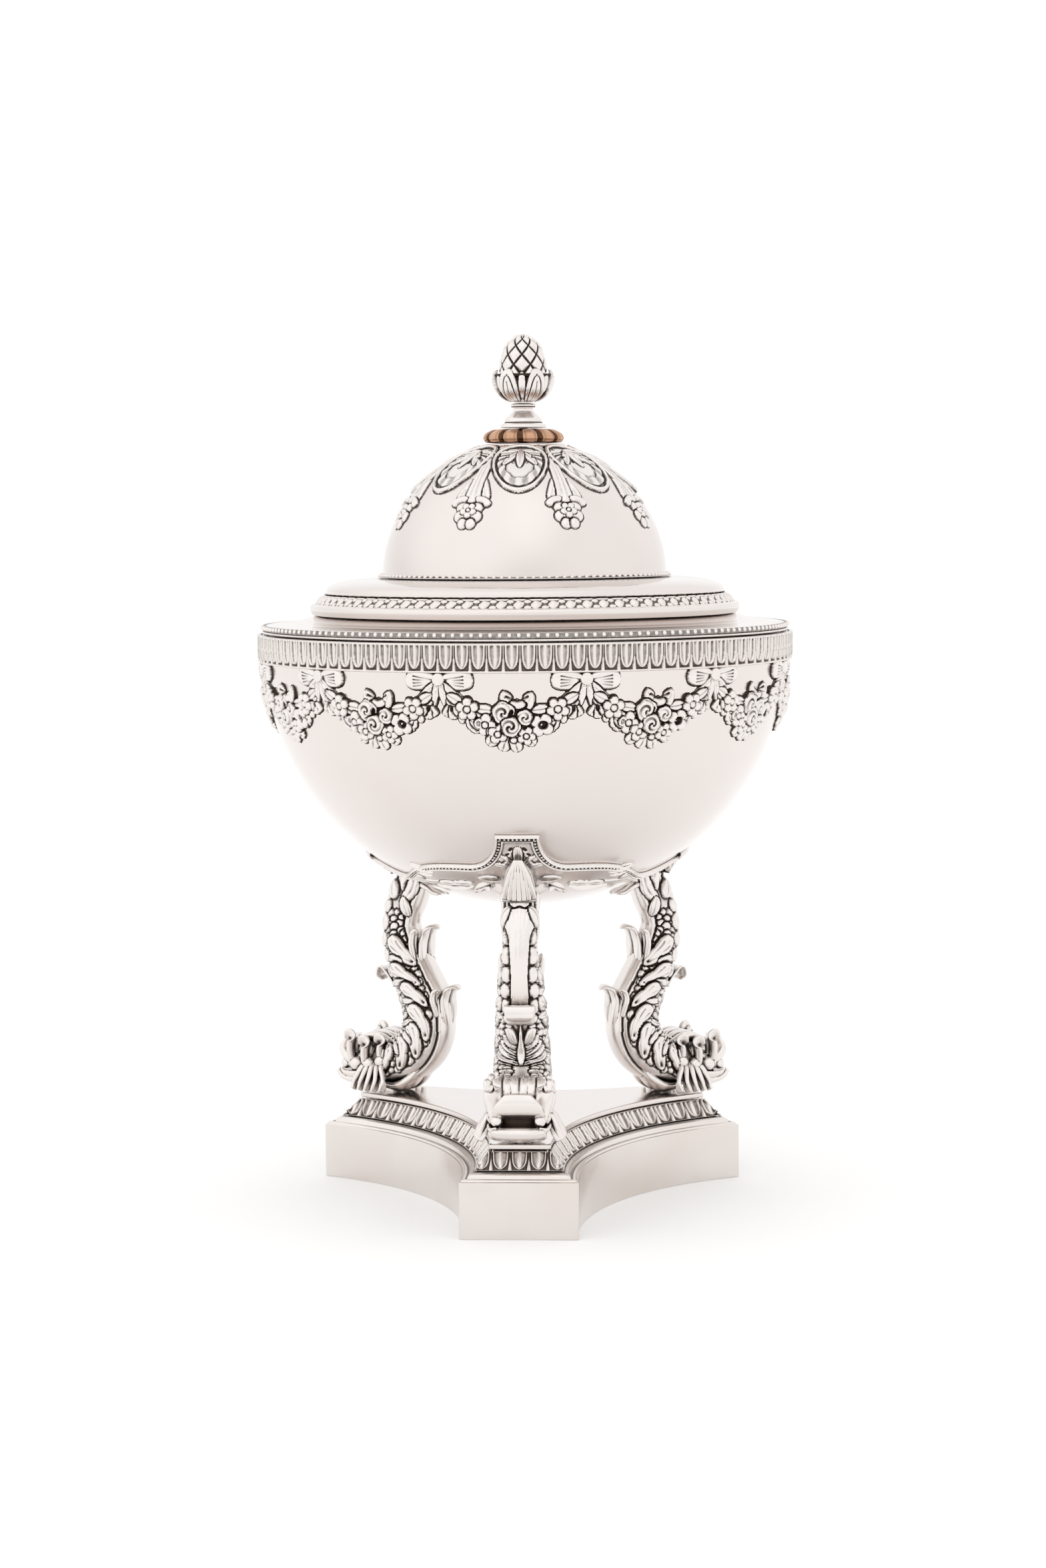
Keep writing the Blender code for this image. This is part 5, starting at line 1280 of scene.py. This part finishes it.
def leg_body():
    """Spine knots from tail to snout: radius, height, half depth, half breadth, in mm."""
    deck = DECK_Z
    knots = np.array([
        (36.0, 87.6, 4.6, 4.5), (36.3, 84.6, 4.7, 4.5), (37.1, 81.0, 4.9, 4.3), (38.6, 77.6, 5.2, 4.6),
        (40.3, 73.4, 5.0, 4.2), (40.9, 69.6, 5.0, 4.4), (40.2, 65.0, 5.5, 4.9), (38.8, 61.0, 5.7, 5.3),
        (37.0, 57.0, 6.1, 5.7), (34.9, 53.0, 6.4, 6.0), (32.7, 48.6, 6.7, 6.2), (31.9, 44.4, 6.6, 6.4),
        (32.4, 40.4, 6.9, 6.6), (34.4, 36.6, 7.1, 6.8), (37.6, 33.6, 6.9, 6.9), (41.8, 31.7, 6.6, 7.0),
        (46.6, 30.4, 5.9, 7.0), (50.6, 29.6, 5.0, 6.8), (53.6, 29.6, 3.9, 6.4), (55.0, 29.8, 2.6, 5.6)])
    knots[:, 1] += deck - 23.0
    return knots


def dolphin():
    steps, columns = 330, 150
    knots = leg_body()
    line = spline(knots, steps)
    ahead = np.gradient(line[:, :2], axis=0)
    ahead /= np.linalg.norm(ahead, axis=1, keepdims=True)
    out = np.stack([-ahead[:, 1], ahead[:, 0]], -1)
    along = np.concatenate([[0], np.cumsum(np.linalg.norm(np.diff(line[:, :2], axis=0), axis=1))])
    phi = (np.arange(columns) / columns - 0.5) * TAU
    # phi 0 faces outward; the section is a soft box
    c, s = np.cos(phi)[None, :], np.sin(phi)[None, :]
    soft = (np.abs(c) ** 2.5 + np.abs(s) ** 2.5) ** (-1 / 2.5)
    depth, breadth = line[:, 2:3], line[:, 3:4]
    x = phi[None, :] * (depth + breadth) / 2
    y = along[:, None] + 0 * x
    work = Relief(x, y, 0.0)

    def at(height):
        """Distance along the spine at a height on the upright part."""
        upright = slice(0, int(steps * 0.72))
        return float(np.interp(-height, -line[upright, 1], along[upright]))

    def mark(knot):
        """Distance along the spine at a knot."""
        return float(np.interp(knot / (len(knots) - 1), np.linspace(0, 1, steps), along))

    work.h[:] = -0.22
    # pebbled scales down the sides
    for side in (-1, 1):
        for row in range(27):
            for rank in range(6):
                yy = at(73.5) + row * 2.05 + (rank % 2) * 1.0
                xx = side * (3.6 + rank * 1.9 + 0.35 * math.sin(row * 2.4 + rank))
                size = 1.15 + 0.22 * math.sin(row * 1.7 + rank * 2.1)
                if yy < mark(15.4):
                    work.ball(xx, yy, size, size * 0.95, 30 * math.sin(row + rank), 0.85, base=-0.25,
                              moat=0.3, power=2.2)
        # lobes that bulge beside the smooth strip
        for rank in range(5):
            yy = at(74.0) + rank * 3.9
            work.ball(side * (3.9 + 0.25 * (rank % 2)), yy, 1.5, 1.95, 0, 1.05, base=-0.1, moat=0.35)
    # smooth keel inside and smooth strip outside
    keel = np.abs(np.abs(x) - math.pi * (depth + breadth) / 2)
    smooth = 0.15 + 0.25 * np.sqrt(np.maximum(1 - (keel / 4.6) ** 2, 0))
    work.h = np.where(keel < 4.2, smooth, work.h)
    work.h = np.where(np.abs(keel - 4.45) < 0.28, -0.7, work.h)
    half = 2.3 + 2.6 * np.exp(-((y - at(77.9)) / 3.0) ** 2) + 0.6 * np.exp(-((y - at(73.5)) / 4.0) ** 2)
    strip = (np.abs(x) < half) & (y > at(88)) & (y < at(57.3))
    satin = 0.55 - 0.30 * (np.abs(x) / half) ** 2 + 0.05 * np.cos(x * 5.5)
    work.h = np.where(strip, satin, work.h)
    border = (np.abs(np.abs(x) - half - 0.25) < 0.26) & (y > at(79.8)) & (y < at(57.3))
    work.h = np.where(border, -0.42, work.h)
    work.groove([(-3.4, at(82.4)), (-1.6, at(80.6)), (0.0, at(81.2)), (1.6, at(80.6)), (3.4, at(82.4))],
                0.35, 0.8)
    for rank in range(-3, 4):
        work.groove([(rank * 0.95, at(88)), (rank * 0.80, at(84.6))], 0.22, 0.45)
        work.groove([(rank * 0.55, at(79.6)), (rank * 0.35, at(75.5 - abs(rank)))], 0.20, 0.16)
    for side in (-1, 1):
        # side lobes of the flared leaf and the leaves behind it
        work.leaf(side * 2.6, at(81.5), 90 - side * 34, 6.4, 3.4, 0.9, base=0.15, belly=0.6, rib=0.3)
        work.leaf(side * 6.0, at(87), 90 - side * 16, 8.0, 3.8, 0.9, base=0.0, belly=0.6, rib=0.35)
        work.leaf(side * 9.8, at(86), 90 + side * 4, 9.5, 3.8, 0.8, base=0.0, belly=0.55, rib=0.35,
                  lobes=3, veins=0.25)
        work.leaf(side * 8.6, at(78.5), 90 - side * 22, 6.0, 3.2, 0.8, base=0.0, belly=0.55, rib=0.3)
        # acanthus fingers that rise from the inner keel and turn outward
        for root, side_at, tilt, size, wide in (
                (at(57.5), 13.4, 34, 12.0, 4.2), (at(52.5), 13.2, 42, 11.5, 4.0),
                (at(47.5), 13.6, 36, 10.0, 3.6), (at(40.0), 14.2, 34, 11.0, 4.4),
                (mark(13.2), 14.2, 40, 10.5, 4.4), (mark(14.4), 13.6, 46, 9.5, 4.4),
                (mark(15.6), 12.8, 50, 9.0, 4.2)):
            work.leaf(side * side_at, root, -90 - side * tilt, size, wide, 1.25, base=0.05, belly=0.66,
                      blunt=0.52, rib=0.25, moat=0.5, lobes=2, veins=0.16)
            work.leaf(side * (side_at - 3.4), root - 0.2 * size, -90 - side * (tilt + 26), 0.42 * size,
                      0.52 * wide, 1.1, base=0.0, belly=0.6, blunt=0.5, rib=0.3, moat=0.3)
            reach = math.radians(-90 - side * tilt)
            for off in (-1.1, 1.1):
                work.groove([(side * side_at + run * math.cos(reach) - off * run * 0.09 * math.sin(reach),
                              root + run * math.sin(reach) + off * run * 0.09 * math.cos(reach))
                             for run in (0.12 * size, 0.45 * size, 0.80 * size)], 0.24, 0.42)
    # front acanthus between the brow and the turned-out leaf
    for side in (-1, 1):
        for rank in range(5):
            work.leaf(side * 0.6, at(38.0 + 2.6 * rank), -90 + side * (46 - 5 * rank), 9.5 - 0.7 * rank, 2.7,
                      0.85, base=0.05, belly=0.62, blunt=0.5, rib=0.35, moat=0.35)
            work.groove([(side * 1.4, at(38.6 + 2.6 * rank)),
                         (side * 4.6, at(44.0 + 2.3 * rank))], 0.22, 0.4)
    work.leaf(0.0, at(37.6), -90, 18.5, 2.0, 0.95, base=0.25, belly=0.35, blunt=0.5, rib=0.0, moat=0.3)
    work.h = np.clip(work.h, -0.9, 1.35)
    field = work.h
    reach_d, reach_b = depth + field - 0.2, breadth + field - 0.2
    radial = c * soft * reach_d
    lateral = s * soft * reach_b
    radius = line[:, 0:1] + out[:, 0:1] * radial
    height = line[:, 1:2] + out[:, 1:2] * radial
    points = np.stack([radius, lateral + 0 * radius, height], -1)
    # darker in hollows and on the low bed (oxide plus painted shade) and on steep walls (painted form shading)
    down, over = np.gradient(field)
    slope = np.clip(np.hypot(down, over) / 0.23 - 0.35, 0, 1.4)
    dark = 2.4 * (blur(field, 2.2, True) - field) + 1.2 * np.clip(-field, 0, 1) + 0.30 * slope
    dark = np.clip(dark, 0, 1)
    caps = [points[:1] * 0 + points[:1].mean(1, keepdims=True), points,
            points[-1:] * 0 + points[-1:].mean(1, keepdims=True)]
    points = np.concatenate(caps)
    dark = np.concatenate([dark[:1], dark, dark[-1:]])
    quads = outward(points, grid_quads(steps + 2, columns, False, True))
    return Shape().add(points, quads, dark.ravel())


def head(shape):
    """Snout, lips, brow lobes, fins and the free leaves, added to the body's shape."""
    z0 = DECK_Z

    def spot(radius, side, height):
        return radius, side, height - 23.0 + z0

    def leaf(path, widths, thickness, shade_and_oxide=0.0, **form):
        shape.add(*blade([spot(*place) for place in path], widths, thickness, **form), shade_and_oxide)

    # snout: broad smooth upper lip that turns up
    leaf([(47.5, 0, 33.6), (51.6, 0, 32.6), (55.4, 0, 32.4), (57.6, 0, 34.6), (57.8, 0, 37.4)],
         (9.0, 12.6, 13.4, 12.0, 6.5), 5.2, rib=0.0, across=24, rise=-0.8)
    # lower lip bar
    leaf([(48.5, 0, 26.4), (53.0, 0, 26.0), (57.0, 0, 26.6), (59.0, 0, 28.2)],
         (12.0, 14.2, 14.6, 13.4), 4.4, rib=0.0, across=24)
    # bed of the head, that the lobes stand on, darkened as painted shade under the lobes plus oxide
    leaf([(40.0, 0, 31.0), (45.0, 0, 30.0), (50.0, 0, 29.4), (55.5, 0, 28.8)],
         (11.0, 12.5, 12.5, 9.0), 11.0, rib=0.0, across=20, shade_and_oxide=0.5)
    # brow lobes
    for side in (-1, 0, 1):
        leaf([(41.5, side * 3.0, 36.0), (45.0, side * 3.9, 38.6), (49.0, side * 4.3, 38.6),
             (51.2, side * 4.2, 36.2), (50.2, side * 4.0, 34.2)], (3.6, 5.0, 5.2, 4.2, 2.2), 2.6,
             rib=0.7)
    # ribbed folds of the muzzle that rise beside the snout
    for side in (-1, 1):
        for r_at, out_by, tall in ((43.8, 5.8, 38.4), (48.4, 6.8, 37.6), (53.4, 6.4, 38.9)):
            leaf([(r_at + 0.6, side * (out_by - 1.0), 29.6),
                 (r_at + 0.2, side * out_by, tall - 4.2),
                 (r_at - 0.3, side * (out_by + 0.3), tall - 1.2),
                 (r_at + 0.6, side * (out_by + 0.9), tall),
                 (r_at + 1.7, side * (out_by + 1.0), tall - 1.3)], (3.4, 4.4, 4.6, 4.0, 1.8), 2.4,
                 rib=0.8, lean=0.9 * side, across=12)
        # cheek, corner of the mouth and jaw
        for r_at, out_by, tall, size in ((52.6, 6.0, 30.6, 2.2), (48.2, 6.6, 31.0, 2.0),
                                         (44.2, 6.4, 32.0, 1.9), (56.6, 5.4, 30.2, 1.5)):
            ball, quads = bead(spot(r_at, side * out_by, tall), size, 12, 18)
            shape.add(ball, quads)
        leaf([(46.0, side * 6.4, 28.6), (51.0, side * 7.0, 27.6), (56.0, side * 6.6, 27.4),
             (58.6, side * 5.2, 28.4)], (2.6, 3.0, 2.6, 1.6), 1.8, rib=0.4, lean=0.8 * side)
        # thorn leaf behind the brow
        leaf([(37.5, side * 2.6, 35.6), (39.6, side * 3.6, 38.8), (41.0, side * 4.2, 40.4)],
             (3.2, 2.6, 0.8), 1.8, rib=0.3)
        # ribbed toes that spread over the deck
        for index in range(5):
            start = 46.5 + 0.8 * (index - 2)
            end = 46.0 + 2.3 * (index - 2)
            leaf([(start, side * 5.0, 31.5), ((start + end) / 2, side * 7.6, 29.8),
                 (end, side * (9.8 - 0.12 * (index - 2) ** 2), 26.4),
                 (end + 0.2, side * (11.0 - 0.15 * (index - 2) ** 2), 24.2)], (2.0, 2.5, 2.8, 2.2),
                 2.2, rib=0.5, lean=1.2 * side, across=10, steps=22)
        # leaves that run out under the cradle either side of the tail
        leaf([(37.0, side * 2.6, 85.6), (38.0, side * 6.0, 87.6), (38.0, side * 9.4, 87.4),
             (37.0, side * 11.6, 85.9)], (3.2, 3.6, 3.2, 1.2), 1.5, rib=0.4, lobes=3)
        # foot scroll between the belly and the deck
        leaf([(33.5, side * 1.5, 31.0), (36.0, side * 3.2, 27.0), (40.0, side * 4.0, 24.8),
             (44.5, side * 4.2, 25.0)], (4.6, 5.0, 5.0, 4.0), 3.0, rib=0.4, lean=0.5 * side)
    # reeded hood that covers the tail root, up to the cradle's tab; its body between the reeds is darkened as
    # painted shade plus oxide
    leaf([(47.6, 0, 95.2), (46.2, 0, 92.2), (43.8, 0, 88.2), (41.6, 0, 84.0)],
         (2.6, 6.4, 8.2, 8.8), 2.0, rib=0.0, rise=-0.5, across=20, shade_and_oxide=0.35)
    for reed in range(-3, 4):
        drop = 0.10 * reed ** 2
        leaf([(48.2, reed * 0.26, 95.6), (46.9 - 0.4 * drop, reed * 0.78, 92.4 - drop),
             (44.6 - 0.6 * drop, reed * 1.12, 88.2 - drop),
             (42.5 - 0.6 * drop, reed * 1.24, 84.2 + 0.7 * drop)], (0.7, 1.15, 1.35, 1.3), 1.7,
             rib=0.0, across=8, steps=26)
    # curled leaf on the outer face
    leaf([(41.6, 0, 52.6), (44.2, 0, 56.0), (46.2, 0, 57.4), (47.0, 0, 55.4), (46.2, 0, 54.0)],
         (7.0, 8.2, 8.0, 7.4, 5.0), 1.5, rib=0.0, rise=0.5, across=22)
    # curled leaves that grow out of the inner keel
    for knots in (((34.2, 55.0), (33.4, 60.5), (33.0, 65.2), (32.0, 68.6), (30.3, 69.8), (28.8, 69.2)),
                  ((26.6, 40.0), (26.0, 45.6), (26.2, 49.8), (25.2, 52.6), (23.6, 53.6), (22.2, 52.9))):
        leaf([(radius, 0, height) for radius, height in knots], (4.5, 7.0, 7.8, 7.4, 5.6, 2.0),
             2.3, rib=0.35, rise=0.3, lobes=2, steps=40)
        for side in (-1, 1):
            (r0, z0_), (r1, z1_), (r2, z2_) = knots[1:4]
            leaf([(r0 + 1.2, side * 3.4, z0_), (r1 + 1.4, side * 4.4, z1_),
                 (r2 + 1.8, side * 4.6, z2_ - 0.6), (r2 + 0.6, side * 4.9, z2_ + 0.5)],
                 (2.4, 3.2, 2.8, 1.2), 1.8, rib=0.35, lean=0.8 * side)
    # spray of leaves reaching inward under the bowl
    for side in (-1, 0, 1):
        leaf([(34.5, side * 1.2, 82.0), (31.5, side * 2.0, 81.0),
             (28.6, side * 2.2, 80.0 - 0.4 * abs(side)), (26.6, side * 1.6, 79.0)],
             (2.6, 3.2, 3.2, 1.8), 1.9, rib=0.5, lobes=2)
    return shape


def build_legs():
    shape = head(dolphin())
    points, quads, patina_and_shade = shape.arrays()
    box_low = low("dolphin_leg_1")
    points[:, 0] = np.minimum(points[:, 0], -box_low[1] + 1.5)
    points[:, 2] = np.maximum(points[:, 2], DECK_Z + 0.05)
    over = np.linalg.norm(points - INSIDE, axis=1)
    clear = BOWL_R + 2.0
    squeeze = np.where(over < clear, clear / over, 1.0)[:, None]
    points = INSIDE + (points - INSIDE) * squeeze
    # ambient occlusion from short rays is added to the darkness: painted shade
    patina_and_shade = np.clip(patina_and_shade + 1.6 * np.clip(occlusion(points, quads, 2.4, 8) - 0.30, 0, 1), 0, 1)
    leg = Shape().add(points, quads, patina_and_shade)
    for index in range(3):
        leg.turned(FRONT + TAU * index / 3).piece(
            f"dolphin_{index + 1}", STAND, "chased_silver", chased, f"dolphin_leg_{index + 1}")


# ------------------------------------------------------------------ fasteners

def finish_fasteners():
    """The plain studs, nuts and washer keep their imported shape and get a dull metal."""
    for name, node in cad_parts.items():
        if name.startswith(("leg_nut", "leg_stud", "finial_nut", "finial_stud", "finial_washer")):
            for slot_index in range(len(node.material_slots)):
                node.material_slots[slot_index].material = steel


build_bowl()
build_rim_band()
build_garland()
build_lid_turnings()
build_leaf_ring()
build_calyx()
build_finial()
build_plinth()
build_cradle()
build_legs()
finish_fasteners()


# ------------------------------------------------------------------ studio

def build_studio():
    """Wide pale floor under a plain white surround."""
    reach = 6.0
    mesh = bpy.data.meshes.new("floor")
    corners = [(-reach, -reach, 0), (reach, -reach, 0), (reach, reach, 0), (-reach, reach, 0)]
    mesh.from_pydata(corners, [], [(0, 1, 2, 3)])
    floor = bpy.data.objects.new("floor", mesh)
    bpy.context.scene.collection.objects.link(floor)
    paper, nodes, links = node_tree("floor_paper")
    shader = nodes["Principled BSDF"]
    shader.inputs["Roughness"].default_value = 0.9
    shader.inputs["Specular IOR Level"].default_value = 0.1
    place = nodes.new("ShaderNodeTexCoord")
    tooth = nodes.new("ShaderNodeTexNoise")
    tooth.inputs["Scale"].default_value = 8.0
    links.new(place.outputs["Object"], tooth.inputs["Vector"])
    shade = nodes.new("ShaderNodeMix")
    shade.data_type = "RGBA"
    shade.inputs["A"].default_value = (0.975, 0.972, 0.970, 1)
    shade.inputs["B"].default_value = (0.990, 0.989, 0.987, 1)
    links.new(tooth.outputs["Fac"], shade.inputs["Factor"])
    links.new(shade.outputs["Result"], shader.inputs["Base Color"])
    mesh.materials.append(paper)


def area_light(name, place, aim, size, watts, colour=(1, 1, 1)):
    lamp = bpy.data.lights.new(name, "AREA")
    lamp.shape = "RECTANGLE"
    lamp.size, lamp.size_y = size
    lamp.energy = watts
    lamp.color = colour
    made = bpy.data.objects.new(name, lamp)
    bpy.context.scene.collection.objects.link(made)
    made.location = place
    made.rotation_euler = (Vector(aim) - Vector(place)).to_track_quat("-Z", "Y").to_euler()
    made.visible_glossy = False
    return made


def build_light():
    world = bpy.data.worlds.new("soft_studio")
    bpy.context.scene.world = world
    world.use_nodes = True
    nodes, links = world.node_tree.nodes, world.node_tree.links
    place = nodes.new("ShaderNodeTexCoord")
    bright = nodes["Background"].inputs["Strength"]
    level = None
    for way, gain in (((-0.62, -0.42, 0.66), 0.26), ((0.80, -0.30, 0.52), 0.16), ((0.0, 0.9, 0.12), 0.14)):
        lobe = nodes.new("ShaderNodeVectorMath")
        lobe.operation = "DOT_PRODUCT"
        lobe.inputs[1].default_value = Vector(way).normalized()
        links.new(place.outputs["Generated"], lobe.inputs[0])
        soft = nodes.new("ShaderNodeMapRange")
        soft.interpolation_type = "SMOOTHERSTEP"
        soft.inputs["From Min"].default_value = 0.15
        soft.inputs["From Max"].default_value = 1.0
        soft.inputs["To Max"].default_value = gain
        links.new(lobe.outputs["Value"], soft.inputs["Value"])
        total = nodes.new("ShaderNodeMath")
        total.operation = "ADD"
        links.new(soft.outputs["Result"], total.inputs[0])
        if level is None:
            total.inputs[1].default_value = 0.92
        else:
            links.new(level, total.inputs[1])
        level = total.outputs[0]
    links.new(level, bright)
    nodes["Background"].inputs["Color"].default_value = (1.0, 0.998, 0.996, 1)
    area_light("key", (-1.2, -1.0, 1.2), (0, 0, 0.13), (1.1, 1.3), 0.9)
    area_light("fill", (1.5, -0.7, 1.0), (0, 0, 0.12), (1.0, 1.2), 0.6)
    area_light("top", (0.0, 0.2, 1.7), (0, 0, 0.15), (1.2, 1.0), 0.6)


def build_camera():
    lens = bpy.data.cameras.new("camera")
    lens.sensor_width = 36.0
    lens.lens = 69.05
    lens.clip_start = 0.05
    camera = bpy.data.objects.new("camera", lens)
    bpy.context.scene.collection.objects.link(camera)
    turn_z = Matrix.Rotation(math.radians(2.68), 3, "Z")
    yaw, pitch, roll = (math.radians(a) for a in (-0.06, 5.25, -0.44))
    forward = Vector((math.sin(yaw) * math.cos(pitch), math.cos(yaw) * math.cos(pitch),
                      -math.sin(pitch)))
    right = Vector((math.cos(yaw), -math.sin(yaw), 0))
    up = right.cross(forward)
    level = right * math.cos(roll) + up * math.sin(roll)
    upright = up * math.cos(roll) - right * math.sin(roll)
    facing_to = Matrix((level, upright, -forward)).transposed()
    camera.matrix_world = Matrix.Translation(turn_z @ Vector((0, -0.8018, 0.1839))) @ (
        turn_z @ facing_to).to_4x4()
    bpy.context.scene.camera = camera


build_studio()
build_light()
build_camera()
bpy.context.scene.view_settings.view_transform = "Standard"
bpy.context.view_layer.update()
